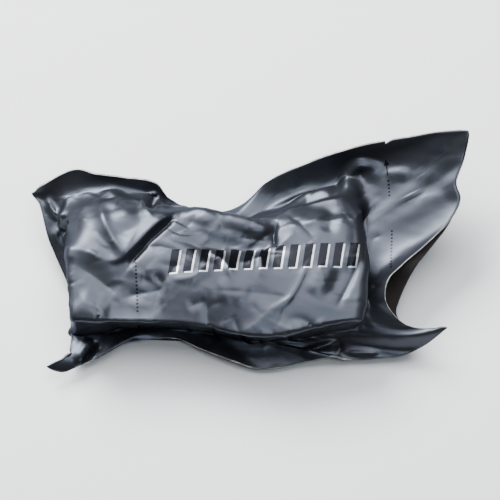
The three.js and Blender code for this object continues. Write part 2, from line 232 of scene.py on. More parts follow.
# Where the free margin leaves the block, how far the wall leans in, and how the margin bends.
MARGIN_ROWS = (
    # round, leave, tuck, bow, swayX, swayY
    (0.00, 0.17, 0.80, 0.02, 0.18, 0.0),
    (0.06, 0.17, 1.60, 0.02, 0.11, 0.0),
    (0.15, 0.17, 3.20, 0.02, 0.05, 0.0),
    (0.34, 0.17, 3.90, 0.0, 0.0, 0.0),
    (0.50, 0.18, 3.90, 0.0, 0.0, 0.0),
    (0.76, 0.20, 3.70, 0.0, 0.0, 0.0),
    (0.92, 0.28, 2.00, -0.02, 0.0, -0.03),
    (1.00, 0.38, 0.5, -0.03, 0.0, -0.08),
    (1.10, 0.46, 0.3, -0.02, 0.0, -0.05),
    (1.25, 0.54, 0.3, -0.01, 0.0, 0.0),
    (1.50, 0.50, 0.3, -0.03, 0.0, 0.0),
    (1.90, 0.50, 0.2, -0.05, 0.0, 0.0),
    (2.00, 0.50, -0.2, -0.08, 0.0, 0.0),
    (2.08, 0.56, -1.5, -0.10, 0.0, 0.0),
    (2.21, 0.50, -1.3, -0.14, 0.0, 0.0),
    (2.34, 0.50, -0.7, -0.12, 0.0, 0.0),
    (2.42, 0.55, -0.1, -0.08, 0.0, 0.0),
    (2.55, 0.60, 0.0, 0.0, 0.0, 0.0),
    (2.66, 0.64, -0.3, 0.0, 0.0, 0.0),
    (2.76, 0.72, -0.9, -0.03, 0.0, 0.0),
    (2.90, 0.74, -1.0, -0.03, 0.0, 0.0),
    (3.00, 0.66, -0.9, -0.04, 0.0, 0.0),
    (3.10, 0.54, -0.7, -0.02, 0.0, 0.0),
    (3.25, 0.38, -0.2, 0.0, 0.0, 0.0),
    (3.45, 0.24, 0.2, 0.0, 0.0, 0.0),
    (3.70, 0.20, 0.5, 0.0, 0.0, 0.0),
    (3.90, 0.17, 0.5, 0.0, 0.0, 0.0),
    (3.97, 0.17, 0.3, 0.0, 0.05, 0.0),
)

# The open mouth: how far the back film's edge parts from the front film's.
MOUTH_ROWS = (
    # round, partX, partY, drop
    (1.08, 0.0, 0.0, 0.0),
    (1.16, 0.02, 0.02, -0.12),
    (1.22, 0.06, 0.05, -0.22),
    (1.29, 0.16, 0.10, -0.34),
    (1.36, 0.20, 0.10, -0.38),
    (1.44, 0.15, 0.10, -0.34),
    (1.54, 0.05, 0.03, -0.20),
    (1.66, 0.0, 0.0, 0.0),
)

# Broad swells and hollows of the block's upper side, as shares of the block's half sizes.
SWELL_ROWS = (
    # x, y, reach, height
    (-0.72, 0.45, 0.75, 0.5),
    (-0.72, -0.45, 0.6, -0.2),
    (0.0, -0.35, 0.8, 0.25),
    (0.10, 0.30, 0.5, -0.3),
    (0.60, 0.40, 0.6, 0.3),
    (0.62, -0.50, 0.7, 0.2),
)


# The pouch's own folds, drawn after the photo. Left and right are the widths on either side of the line,
# and the points are places on the front film before it is folded.
FOLD_ROWS = (
    # name, height, left, right, profile, points
    ("left_pinch", 2.2, 4, 5, "crease", ((-106.7, 33.8, 22.4), (-103.5, 28.1, 19), (-100.3, 22.9, 18.3),
     (-94.6, 19.2, 22.1), (-96.9, 15.7, 17.6), (-100.3, 11.8, 15), (-98.2, 7.8, 13.6), (-96, 5.2, 12.6))),
    ("left_pinch_hollow", -2.6, 4, 5, "round", ((-92.4, 17.2, 24.9), (-94.2, 14.2, 21.3),
     (-97.7, 12.2, 15.3))),
    ("left_corner_crest", 1.4, 7, 7, "round", ((-78.7, 20.8, 32.4), (-73.9, 21.4, 32.8),
     (-69.4, 22.8, 32.2), (-67.5, 25.8, 30.2), (-72, 28.7, 28.6), (-77.3, 29.9, 27.6))),
    ("y_crest_left", 1.9, 12, 7, "crease", ((-77.2, 22, 31.9), (-74.5, 10.5, 37.3), (-70, 0.9, 38),
     (-64.4, -8.5, 37.3))),
    ("y_crest_right", 0.9, 8, 8, "round", ((-67.1, 24.2, 31.3), (-64.2, 14.2, 37.3), (-62.1, 4.9, 37.8))),
    ("rim_low", 1.8, 14, 14, "crease", ((-98.1, 5.8, 12.8), (-91.8, -3.2, 34.9), (-84.8, -4.8, 36.8),
     (-77.2, -8.4, 36.9), (-71.2, -10.7, 36.8), (-65.2, -10, 37.1))),
    ("rim", 2.8, 15, 4, "crease", ((-74.6, -10, 36.8), (-69.5, -10.7, 36.9), (-65.2, -9.2, 37.2),
     (-59.2, -4, 37.7), (-53, 3.5, 37.4), (-45.8, 10.9, 36.4), (-39.6, 15.5, 35.5), (-38.1, 19.5, 32.6))),
    ("rim_valley", -2.2, 2.6, 5, "crease", ((-35.5, 20.6, 31), (-40.9, 11.2, 36.1), (-47.1, 4.7, 37),
     (-53.2, -1.9, 37.6), (-58.4, -8.5, 37.4), (-61.8, -13.9, 36.7), (-65.1, -18, 35.9))),
    ("pocket_lip", 1.6, 2.6, 2.6, "crease", ((-55.6, 15.9, 36.4), (-55.4, 22.5, 32), (-52.9, 28.6, 26.2),
     (-49.4, 31.1, 25), (-47, 29.2, 23.8), (-45.1, 21.3, 31.3))),
    ("pocket_hollow", -3.0, 4.0, 4.0, "round", ((-48.9, 29.3, 24.5), (-50.3, 23.3, 30.3),
     (-51.9, 17.6, 35.3))),
    ("pocket_shelf", 1.4, 3.0, 4.0, "crease", ((-52.2, 19.1, 34.3), (-46.3, 20.3, 32.6),
     (-38.3, 21.1, 30.5))),
    ("tube_top", 2.8, 3.5, 9, "round", ((-35.6, 20, 31.8), (-27.4, 18, 33.3), (-19.7, 15.6, 33.7),
     (-11.1, 13.7, 33.4), (-3.4, 12, 33.3), (4.5, 9.2, 34.5), (9.5, 5.2, 35.7))),
    ("tube_low", 1.2, 6.0, 6.0, "round", ((-32.6, 12.2, 35.7), (-23, 9.5, 35.4), (-12.6, 5.4, 34.9),
     (-2.2, 2.8, 34.9), (8.2, 1.5, 35.9))),
    ("title_valley", -2.6, 10, 12, "round", ((-33.8, 5.1, 36.5), (-27.3, -0.5, 37), (-17.4, -3.9, 36.8),
     (-6.8, -3.5, 36), (1.2, -2, 35.8), (10.1, -4.1, 36.7), (21.2, -1.1, 37.3))),
    ("break", -3.6, 3, 6, "crease", ((14, 12.8, 33.4), (12.5, 6.5, 36), (12.2, 1.8, 36.3),
     (13.2, -2.5, 36.8))),
    ("lower_crest", 2.8, 7, 10, "crease", ((13.6, 14.1, 32.2), (20.5, 18, 29.8), (29.2, 21.7, 28.3),
     (38.3, 23.9, 28.6), (47.4, 25.9, 28.3), (50.7, 32.2, 23))),
    ("corner_crest", 3.4, 6, 9, "round", ((48.1, 26.8, 27.5), (50.5, 34.8, 21.1), (51, 41.1, 19),
     (53.2, 45.8, 21.2), (57, 47.9, 22.8), (63, 46.3, 22.2), (69.5, 42.1, 22.4))),
    ("upper_crest", 1.8, 7.0, 6.0, "crease", ((8.4, 24.3, 17.9), (17.9, 29.7, 17.3), (28.7, 34.9, 17.5),
     (40.4, 36.6, 17.8))),
    ("corner_hollow", -0.8, 9, 9, "round", ((59, 39.7, 20.5), (61.6, 34.7, 20.8), (61.7, 27.6, 20.1))),
    ("rim_tube", 3.2, 7, 7, "round", ((15.8, 20.6, 24.5), (28.9, 28.7, 19.9), (39.5, 31.5, 21.2),
     (46.1, 35.8, 19.6))),
    ("end_valley", -1.0, 8, 8, "round", ((58.5, 26.9, 22.2), (58.8, 13.7, 32.8), (59, 4.4, 33.9),
     (58.5, -5.1, 34.7), (59.8, -18.5, 33.2))),
    ("margin_crease_upper", -0.9, 3.0, 3.0, "crease", ((60.1, 1.5, 32.9), (64.4, 9.1, 18.3),
     (69.9, 9.2, 19))),
    ("margin_crease_lower", -1.2, 3.0, 4.0, "crease", ((59.2, -20.9, 33.6), (63.8, -18.8, 22),
     (68.8, -20.5, 27.3))),
    ("margin_dimple", 0.4, 7, 7, "round", ((83.3, 31.4, 24.2), (84.6, 28.7, 23.8))),
    ("margin_arc", 0.8, 4.0, 6.0, "round", ((70.3, 41.8, 22.6), (76.9, 42.5, 24.3), (83.7, 40.7, 25.7))),
    ("seal_line_inner", 0.35, 1.2, 1.2, "crease", ((88.1, 58.1, 36.2), (88.5, 43.5, 27.8),
     (88, 25, 24.5))),
    ("seal_line_outer", 0.35, 1.2, 1.2, "crease", ((99.9, 58.5, 39.2), (99.5, 50.9, 34.1),
     (98, 39.6, 29.6))),
    ("front_dent_left", -1.4, 7, 8, "crease", ((-66.8, -30.2, 34), (-58.7, -27.6, 34.8),
     (-49.6, -26.1, 35.5), (-41.4, -23.8, 36.4))),
    ("front_dent_mid", -0.8, 6, 7, "crease", ((-32, -34.8, 35), (-27.2, -32.8, 35.7),
     (-21.5, -31.1, 36.4))),
    ("front_dent_low", 1.0, 9.0, 9.0, "round", ((-17.4, -27.6, 37.3), (-7.6, -26.3, 37.7),
     (0.5, -30.1, 37))),
    ("left_sweep", -1.0, 10.0, 12.0, "round", ((-86.6, -10.7, 36.2), (-77.7, -20.4, 35.2),
     (-68, -26.5, 34.5))),
    ("left_lower_swell", 1.6, 12.0, 12.0, "round", ((-89, -30.4, 34.2), (-80.7, -33.6, 33.6),
     (-69.8, -34.7, 33.5))),
    ("title_dimple_low", -1.2, 6.0, 6.0, "round", ((-56.6, -18.1, 36.3), (-49.8, -20.8, 36.3),
     (-43.2, -18.6, 37))),
    ("right_soft_fold_a", 0.8, 6, 8, "round", ((46.4, 15.7, 35.2), (47.9, 9.1, 36.2), (47.5, 1, 36.4),
     (44.6, -4.1, 36.7))),
    ("right_soft_fold_b", -0.8, 7, 7, "round", ((41.9, 21, 31.7), (41.1, 11.8, 36.5), (39.2, 4.5, 37))),
    ("right_soft_fold_c", 1.0, 8.0, 8.0, "round", ((38.4, -10.8, 37.2), (35.9, -20.8, 36.9),
     (30.8, -28.8, 36.3))),
    ("right_soft_fold_d", -1.0, 8.0, 8.0, "round", ((48.7, -10.9, 36.3), (46.8, -20.7, 36.1),
     (40.6, -31.1, 35.5))),
    ("near_lip_fold", 2.0, 4.0, 5.0, "crease", ((26.2, -50.6, 7.1), (34.8, -46.7, 6.6),
     (45.5, -43.6, 8.7))),
    ("near_lip_break", -1.6, 3.0, 4.0, "crease", ((45.5, -43.6, 8.7), (46.3, -47.1, 6.8),
     (45.1, -52.3, 8.3))),
    ("near_lip_right", 1.4, 4.0, 4.0, "crease", ((48.8, -49.3, 6.1), (57.6, -49.3, 6.3),
     (67, -49.7, 6.6))),
    ("tab_crease", -4.0, 4, 4.5, "crease", ((-77.5, -44.1, 6.8), (-81.8, -49.5, 7), (-86, -55.4, 6.2))),
    ("tab_crest", 2.0, 5, 5, "crease", ((-81.6, -41.8, 6.6), (-85.3, -48.6, 7.8), (-90, -54.9, 7.3))),
)


# How strong the gathers are at each place round the block.
GATHER_ROWS = (
    # round, strength
    (0.0, 0.8),
    (0.05, 1.0),
    (0.95, 1.0),
    (1.1, 0.7),
    (1.9, 0.5),
    (2.1, 0.25),
    (2.9, 0.25),
    (3.1, 0.6),
    (4.0, 0.8),
)

# A direction across which a chance crease's first heading is laid.
CROSS_GRAIN = (0.3, 0.9, 0.1)

# Sides of the block in one round of the tables.
WHOLE_ROUND = 4.0

# A fold starts at a small share of its height and is full after about a third of its length.
TAPER_RATE, TAPER_START = 3.0, 0.12


def mix(start: Array | float, end: Array | float, share: Array | float) -> Array | float:
    """Blends two values by a share."""
    return start + (end - start) * share


def smooth(value: Array) -> Array:
    """Eases a share in and out between 0 and 1."""
    held = np.clip(value, 0.0, 1.0)
    return held * held * (3 - 2 * held)


class RoundTable:
    """A table of rows read along its first column by smooth interpolation."""

    def __init__(self, rows: tuple[tuple[float, ...], ...], closed: bool = True) -> None:
        """Keeps the rows with two more at either end.

        Args:
            rows: the table's rows, sorted by their first column.
            closed: whether the table runs once round the block.
        """
        base = np.array(rows)
        self.closed = closed
        if closed:
            turn = np.zeros(base.shape[1])
            turn[0] = WHOLE_ROUND
            self.rows = np.vstack([base[-2:] - turn, base, base[:2] + turn])
        else:
            self.rows = np.vstack([base[:1], base, base[-1:]])

    def read(self, rounds: Array, column: int) -> Array:
        """Reads one column.

        Args:
            rounds: places round the block.
            column: the column's number, from 1.

        Returns:
            The interpolated values, 0 outside an open table.
        """
        rows = self.rows
        after = np.clip(np.searchsorted(rows[:, 0], rounds, side="right"), 2, len(rows) - 2)
        row0, row1, row2, row3 = (rows[after + step] for step in (-2, -1, 0, 1))
        span = row2[..., 0] - row1[..., 0]
        slope1 = (row2[..., column] - row0[..., column]) / np.maximum(row2[..., 0] - row0[..., 0], span)
        slope2 = (row3[..., column] - row1[..., column]) / np.maximum(row3[..., 0] - row1[..., 0], span)
        share = (rounds - row1[..., 0]) / span
        bend = share * (1 - share) * span
        value = mix(row1[..., column], row2[..., column], share * share * (3 - 2 * share))
        value = value + bend * (slope1 * (1 - share) - slope2 * share)
        if self.closed:
            return value
        inside = (rounds > self.rows[0, 0]) & (rounds < self.rows[-1, 0])
        return np.where(inside, value, 0.0)

    def columns(self, rounds: Array) -> list[Array]:
        """Reads all columns at places round the block."""
        return [self.read(rounds, column) for column in range(1, self.rows.shape[1])]


@dataclass(frozen=True)
class Fold:
    """One fold line on a film: a raised crest or a sunken crease with its own width on either side."""

    name: str
    height: float
    left: float
    right: float
    profile: Profile
    points: tuple[Place, ...]

    def path(self, steps: int = 5) -> Array:
        """The fold's smooth path.

        Args:
            steps: points for each stretch between two given points.

        Returns:
            The points of the path.
        """
        given = np.array(self.points)
        if len(given) < 3:
            return given
        ends = [2 * given[0] - given[1], *given, 2 * given[-1] - given[-2]]
        path = []
        for one, two, three, four in zip(ends, ends[1:], ends[2:], ends[3:]):
            for share in np.arange(steps) / steps:
                path.append(0.5 * (2 * two + (three - one) * share
                                   + (2 * one - 5 * two + 4 * three - four) * share ** 2
                                   + (3 * two - one - 3 * three + four) * share ** 3))
        path.append(given[-1])
        return np.array(path)

    def lift(self, places: Array, normals: Array) -> Array:
        """How far the fold lifts each place of a film.

        Args:
            places: points of the film.
            normals: the film's normals there.

        Returns:
            Heights along the normals.
        """
        path = self.path()
        reach = max(self.left, self.right)
        low, high = path.min(axis=0) - reach, path.max(axis=0) + reach
        near = np.nonzero(((places > low) & (places < high)).all(axis=1))[0]
        lift = np.zeros(len(places))
        if not len(near):
            return lift
        spots, ups = places[near], normals[near]
        lengths = np.linalg.norm(np.diff(path, axis=0), axis=1)
        run = np.concatenate([[0.0], np.cumsum(lengths)])
        best = np.full(len(near), np.inf)
        side = np.zeros(len(near))
        along = np.zeros(len(near))
        for start, end, length, before in zip(path, path[1:], lengths, run):
            step = end - start
            share = np.clip((spots - start) @ step / max(length ** 2, TINY), 0, 1)
            gap = spots - start - share[:, None] * step
            far = np.linalg.norm(gap, axis=1)
            closer = far < best
            best = np.where(closer, far, best)
            side = np.where(closer, np.einsum("ij,ij->i", gap, np.cross(step, ups)), side)
            along = np.where(closer, (before + share * length) / run[-1], along)
        width = np.where(side > 0, self.right, self.left)
        inner = np.clip(1 - best / width, 0, 1)
        shape = inner ** 2 if self.profile is Profile.CREASE else smooth(inner)
        taper = smooth(np.minimum(along, 1 - along) * TAPER_RATE + TAPER_START)
        lift[near] = self.height * shape * taper
        return lift


@dataclass(frozen=True)
class ChanceCreases:
    """Creases that fall by chance all over a film. Scale multiplies their lengths and widths."""

    seed: int
    count: int
    height: float
    scale: float = 1.0
    lengths: tuple[float, float] = (5.0, 22.0)
    widths: tuple[float, float] = (1.8, 5.0)
    uneven: float = 0.5
    bow: float = 0.2

    def lift(self, places: Array, normals: Array) -> Array:
        """How far the creases lift each place of a film.

        Args:
            places: points of the film.
            normals: the film's normals there.

        Returns:
            Heights along the normals.
        """
        draw = np.random.default_rng(self.seed)
        lift = np.zeros(len(places))
        for _ in range(self.count):
            spot = draw.integers(len(places))
            turn = draw.uniform(0, 2 * math.pi)
            length = draw.uniform(*self.lengths) * self.scale
            width = draw.uniform(*self.widths) * self.scale
            share = draw.uniform(-1, 1)
            up = normals[spot]
            sideways = np.cross(up, CROSS_GRAIN)
            sideways /= np.linalg.norm(sideways)
            heading = math.cos(turn) * sideways + math.sin(turn) * np.cross(up, sideways)
            bend = np.cross(up, heading) * draw.uniform(-self.bow, self.bow) * length
            start = places[spot]
            half = heading * length / 2
            points = tuple(start - half), tuple(start + bend), tuple(start + half)
            other = width * draw.uniform(self.uneven, 1.0)
            fold = Fold("chance", share * self.height, width, other, Profile.CREASE, points)
            lift += fold.lift(places, normals)
        return lift


@dataclass(frozen=True)
class SoftWaves:
    """Broad soft waves with faint ridges, as a taut film has over a roll of cloth."""

    seed: int
    count: int
    height: float
    lengths: tuple[float, float] = (16.0, 60.0)
    middle_length: float = 26.0
    headings: tuple[float, float, float] = (0.6, 1.0, 0.8)
    drift: float = 3.0
    drift_pitch: float = 0.06
    swing: float = 0.6
    rest: float = 0.4
    ridge: float = 0.5
    ridge_power: float = 0.8

    def lift(self, places: Array) -> Array:
        """How far the waves lift each place of a film.

        Args:
            places: points of the film.

        Returns:
            Heights along the normals.
        """
        draw = np.random.default_rng(self.seed)
        lift = np.zeros(len(places))
        for _ in range(self.count):
            heading = draw.normal(size=3) * self.headings
            heading /= np.linalg.norm(heading)
            length, start = draw.uniform(*self.lengths), draw.uniform(0, 2 * math.pi)
            drift = self.drift * np.sin(places @ draw.normal(size=3) * self.drift_pitch)
            wave = np.sin((places @ heading + drift) * 2 * math.pi / length + start)
            shape = wave * self.swing + self.rest - np.abs(wave) ** self.ridge_power * self.ridge
            lift += self.height * length / self.middle_length * shape
        return lift


@dataclass(frozen=True)
class WallGathers:
    """Short folds that run up the block's walls from the free margin."""

    seed: int
    count: int
    height: float
    lean: float = 14.0
    widths: tuple[float, float] = (1.5, 3.6)
    tops: tuple[float, float] = (0.4, 1.3)
    power: float = 1.5
    bare: float = 0.25
    rising: float = 0.6
    fading: float = 0.3
    margin_reach: float = 0.18

    def lift(self, around: Array, whole: float, above: Array, beyond: Array) -> Array:
        """How far the gathers lift each place of a film.

        Args:
            around: distance round the block, in millimetres.
            whole: the whole way round the block.
            above: share of the wall's height, 0 at its foot and less outside it.
            beyond: share of the free margin, 0 at the wall's foot.

        Returns:
            Heights along the normals.
        """
        reach = np.where(above > 0, smooth((1 - above - self.bare) / self.rising),
                         smooth(1 - beyond / self.margin_reach))
        height_share = np.clip(above, 0, 1)
        draw = np.random.default_rng(self.seed)
        lift = np.zeros_like(around)
        for _ in range(self.count):
            place, lean = draw.uniform(0, whole), draw.uniform(-self.lean, self.lean)
            width, share, top = draw.uniform(*self.widths), draw.uniform(-1, 1), draw.uniform(*self.tops)
            away = around - place - lean * height_share
            away = np.abs((away + whole / 2) % whole - whole / 2)
            ridge = np.exp(-(away / width) ** self.power)
            lift += share * self.height * ridge * smooth(top - height_share + self.fading)
        return lift * reach


@dataclass
class ShrunkPouch:
    """The pouch's two films: their surface, folds and walls."""

    sizes: PouchSizes = PouchSizes()
    counts: GridCounts = GridCounts()
    easing: Easing = Easing()
    notch_place: float = 2.19
    notch_half: float = 0.0075
    notch_depth: float = 0.05
    small_creases: ChanceCreases = ChanceCreases(seed=11, count=260, height=0.36)
    large_creases: ChanceCreases = ChanceCreases(seed=31, count=120, height=1.15, scale=2.1)
    under_creases: ChanceCreases = ChanceCreases(seed=23, count=300, height=0.5)
    waves: SoftWaves = SoftWaves(seed=5, count=12, height=0.13)
    gathers: WallGathers = WallGathers(seed=17, count=64, height=1.9)
    margin_share: float = 0.28
    margin_step: float = 0.05
    under_limit: float = 0.3
    under_fade: float = 0.1

    def __post_init__(self) -> None:
        """Reads the tables and lays out the grid."""
        self.edge = RoundTable(EDGE_ROWS)
        self.margin = RoundTable(MARGIN_ROWS)
        self.mouth = RoundTable(MOUTH_ROWS, closed=False)
        along = self.lines(self.counts.along, self.counts.wall_along)
        across = self.lines(self.counts.across, self.counts.wall_across)
        self.p, self.q = np.meshgrid(along, across, indexing="ij")
        self.ring = np.maximum(np.abs(self.p), np.abs(self.q))
        ring = np.maximum(self.ring, TINY)
        self.a, self.b = self.p / ring, self.q / ring
        self.rounds = self.round_of(self.a, self.b)
        self.folds = [Fold(*row[:4], Profile(row[4]), row[5]) for row in FOLD_ROWS]

    def lines(self, middle: int, wall: int) -> Array:
        """Places of the grid's lines on one axis.

        Args:
            middle: cells over the block.
            wall: cells down each wall.

        Returns:
            Places from -1 to 1.
        """
        sizes = self.sizes
        outer = np.linspace(1.0, sizes.base_ring, self.counts.margin, endpoint=False)
        inner = np.linspace(sizes.base_ring, sizes.top_ring, wall, endpoint=False)
        half = np.concatenate([outer, inner])
        return np.concatenate([-half, np.linspace(-sizes.top_ring, sizes.top_ring, middle + 1), half[::-1]])

    def block_plan(self, a: Array, b: Array, inset: Array | float) -> tuple[Array, Array]:
        """A place on the block's side or top, seen from above.

        Args:
            a: place along the block, from -1 to 1.
            b: place across the block, from -1 to 1.
            inset: share of the shoulder's radius by which the place lies inwards.

        Returns:
            X and Y from the block's centre.
        """
        sizes = self.sizes
        shoulder = mix(sizes.near_shoulder, sizes.far_shoulder, (b + 1) / 2)
        end = mix(sizes.left_shoulder, sizes.right_shoulder, (a + 1) / 2)
        x = (sizes.half_length - inset * end) * a * np.sqrt(1 - sizes.corner_squash * b * b)
        y = (sizes.half_width - inset * shoulder) * b * np.sqrt(1 - sizes.corner_squash * a * a)
        return x, y - sizes.bend_at(x)

    def shoulder_radius(self, a: Array, b: Array) -> Array:
        """Radius of the block's upper edge at a place round it.

        Args:
            a: place along the block, from -1 to 1.
            b: place across the block, from -1 to 1.

        Returns:
            The radius in millimetres.
        """
        sizes = self.sizes
        endward = np.where(np.abs(a) >= 1, 1 - b ** sizes.end_hold / 2, a ** sizes.end_hold / 2)
        side_radius = mix(sizes.near_shoulder, sizes.far_shoulder, (b + 1) / 2)
        end_radius = mix(sizes.left_shoulder, sizes.right_shoulder, (a + 1) / 2)
        return mix(side_radius, end_radius, endward)

    def round_of(self, a: Array, b: Array) -> Array:
        """Place once round the block, from the near left corner."""
        choices = [(a + 1) / 2, 1 + (b + 1) / 2, 2 + (1 - a) / 2]
        return np.select([b <= -1, a >= 1, b >= 1], choices, 3 + (1 - b) / 2)

    def swell(self, x: Array, y: Array) -> Array:
        """Height of the broad swells.

        Args:
            x: X of the places from the block's centre.
            y: Y of the places from the block's centre.

        Returns:
            Heights over the plain block.
        """
        sizes = self.sizes
        height = np.zeros_like(x)
        for place_x, place_y, reach, share in SWELL_ROWS:
            far = np.hypot(x - place_x * sizes.half_length, y - place_y * sizes.half_width)
            height += share * sizes.fold_depth * np.exp(-(far / (reach * sizes.half_width)) ** 2)
        return height

    def near_slope(self, x: Array, y: Array) -> Array:
        """How far the block's top falls towards its near side.

        Args:
            x: X of the places from the block's centre.
            y: Y of the places from the block's centre.

        Returns:
            Depths below the plain block.
        """
        sizes = self.sizes
        straight = y + sizes.bend_at(x)
        return sizes.near_drop * np.clip(-straight / sizes.half_width, 0, sizes.near_reach) ** 2

    def surface(self, side: FilmSide) -> Array:
        """The smooth surface that a film follows before it is folded.

        Args:
            side: which film.

        Returns:
            Points of the grid, in the model's frame.
        """
        sizes = self.sizes
        front = side is FilmSide.FRONT
        a, b, rounds = self.a, self.b, self.rounds
        leave, tuck, bow, sway_x, sway_y = self.margin.columns(rounds)
        out_x, out_y, rise = (value * sizes.margin_width for value in self.edge.columns(rounds))
        part_x, part_y, drop = (value * sizes.margin_width for value in self.mouth.columns(rounds))

        # free margin
        t = np.clip((self.ring - sizes.base_ring) / (1 - sizes.base_ring), 0, 1)
        notch = np.clip(1 - np.abs(rounds - self.notch_place) / self.notch_half, 0, 1) * self.notch_depth
        t = t * (1 - notch)
        base_x, base_y = self.block_plan(a, b, tuck)
        middle = 4 * t * (1 - t) * sizes.margin_width
        opened = np.zeros_like(t) if front else t * t
        margin = np.stack([
            mix(base_x, sizes.half_length * a + out_x, t) + sway_x * middle + part_x * opened,
            mix(base_y, sizes.half_width * b + out_y, t) + sway_y * middle + part_y * opened,
            mix(leave * sizes.block_height, rise, t) + bow * middle + drop * opened,
        ], axis=-1)

        # walls of the block
        wall = np.clip((self.ring - sizes.top_ring) / (sizes.base_ring - sizes.top_ring), 0, 1)
        foot = leave * sizes.block_height
        if front:
            sharp = np.maximum(np.clip(-b, 0, 1), np.clip(a, 0, 1)) ** sizes.sharp_hold
            left = np.clip(-a, 0, 1) ** sizes.sharp_hold * smooth(sizes.soft_corner - b)
            sharp = np.maximum(sharp, left)
            turn = np.clip(wall / sizes.arc_share, 0, 1) * mix(math.pi / 2, sizes.sharp_turn, sharp)
            fall = np.clip((wall - sizes.arc_share) / (1 - sizes.arc_share), 0, 1)
            wall_x, wall_y = self.block_plan(a, b, 1 - np.sin(turn) + tuck * fall ** sizes.undercut)
            radius = self.shoulder_radius(a, b) * (1 - sizes.flare_ease * np.clip(-tuck, 0, 1))
            shoulder = sizes.block_height - radius * (1 - np.cos(turn))
            shoulder = shoulder - self.near_slope(wall_x, wall_y)
            shoulder = shoulder + self.swell(wall_x, wall_y) * (1 - wall)
            wall_z = mix(shoulder, foot, fall)
        else:
            turn = wall * math.pi / 2
            wall_x, wall_y = self.block_plan(a, b, mix(1.0, tuck, np.sin(turn)))
            wall_z = mix(sizes.floor_height, foot, 1 - np.cos(turn))
        walls = np.stack([wall_x, wall_y, wall_z], axis=-1)

        # top of the block, or its underside
        top_a, top_b = self.p / sizes.top_ring, self.q / sizes.top_ring
        top_x, top_y = self.block_plan(np.clip(top_a, -1, 1), np.clip(top_b, -1, 1), 1.0)
        dome = sizes.crown * ((1 - top_a ** 2) * (1 - top_b ** 2)) ** 2
        height = sizes.block_height + dome + self.swell(top_x, top_y) - self.near_slope(top_x, top_y)
        height = height if front else sizes.floor_height
        top = np.stack([top_x, top_y, np.broadcast_to(height, top_x.shape)], axis=-1)

        zone = self.ring[..., None]
        placed = np.where(zone <= sizes.top_ring, top, np.where(zone <= sizes.base_ring, walls, margin))
        placed = self.relaxed(placed, smooth(-tuck * self.easing.flare_rate))
        return placed + np.array([sizes.centre_x, sizes.centre_y, 0.0])

    def relaxed(self, grid: Array, flared: Array) -> Array:
        """Takes the kinks out of the free margin and out of walls that flare outwards.

        Args:
            grid: points of the film.
            flared: how much the wall flares at each place, from 0 to 1.

        Returns:
            The smoothed points.
        """
        sizes, easing = self.sizes, self.easing
        depth = (self.ring - sizes.base_ring) / (1 - sizes.base_ring)
        corner = smooth(1 - np.abs(np.abs(self.p) - np.abs(self.q)) / easing.corner_reach)
        rise = (self.ring - sizes.top_ring) / (sizes.base_ring - sizes.top_ring)
        inward = smooth((1 - depth) * easing.margin_rate)
        eased_wall = smooth(rise * easing.wall_rate) * inward * flared
        off_p = (self.p - easing.patch_place[0]) / easing.patch_reach[0]
        off_q = (self.q - easing.patch_place[1]) / easing.patch_reach[1]
        far_left = smooth(easing.patch_hold - np.hypot(off_p, off_q)) * inward
        corners = smooth(depth * easing.corner_rate) * corner
        eased = grid.copy()
        for share, turns in ((np.maximum(corners, eased_wall), easing.rounds),
                             (far_left, easing.rounds * easing.patch_turns)):
            pull = easing.pull * share[1:-1, 1:-1, None]
            for _ in range(turns):
                mean = (eased[2:, 1:-1] + eased[:-2, 1:-1] + eased[1:-1, 2:] + eased[1:-1, :-2]) / 4
                eased[1:-1, 1:-1] = mix(eased[1:-1, 1:-1], mean, pull)
        return eased

    @staticmethod
    def normals(grid: Array) -> Array:
        """Unit normals of a grid of points, towards the films' upper side.

        Args:
            grid: points of the film.

        Returns:
            One normal for each point.
        """
        along, across = np.gradient(grid, axis=0), np.gradient(grid, axis=1)
        normal = np.cross(along, across)
        return normal / np.maximum(np.linalg.norm(normal, axis=-1, keepdims=True), TINY)

    def gathered(self) -> Array:
        """The gathers of the walls, each side of the block with its own strength.

        Returns:
            Heights along the normals, on the grid.
        """
        sizes, rounds = self.sizes, self.rounds
        side, end = 2 * sizes.half_length, 2 * sizes.half_width
        whole = 2 * (side + end)
        around = np.interp(rounds, (0, 1, 2, 3, 4), (0, side, side + end, 2 * side + end, whole))
        above = (sizes.base_ring - self.ring) / (sizes.base_ring - sizes.top_ring)
        beyond = (self.ring - sizes.base_ring) / (1 - sizes.base_ring)
        return self.gathers.lift(around, whole, above, beyond) * np.interp(rounds, *zip(*GATHER_ROWS))

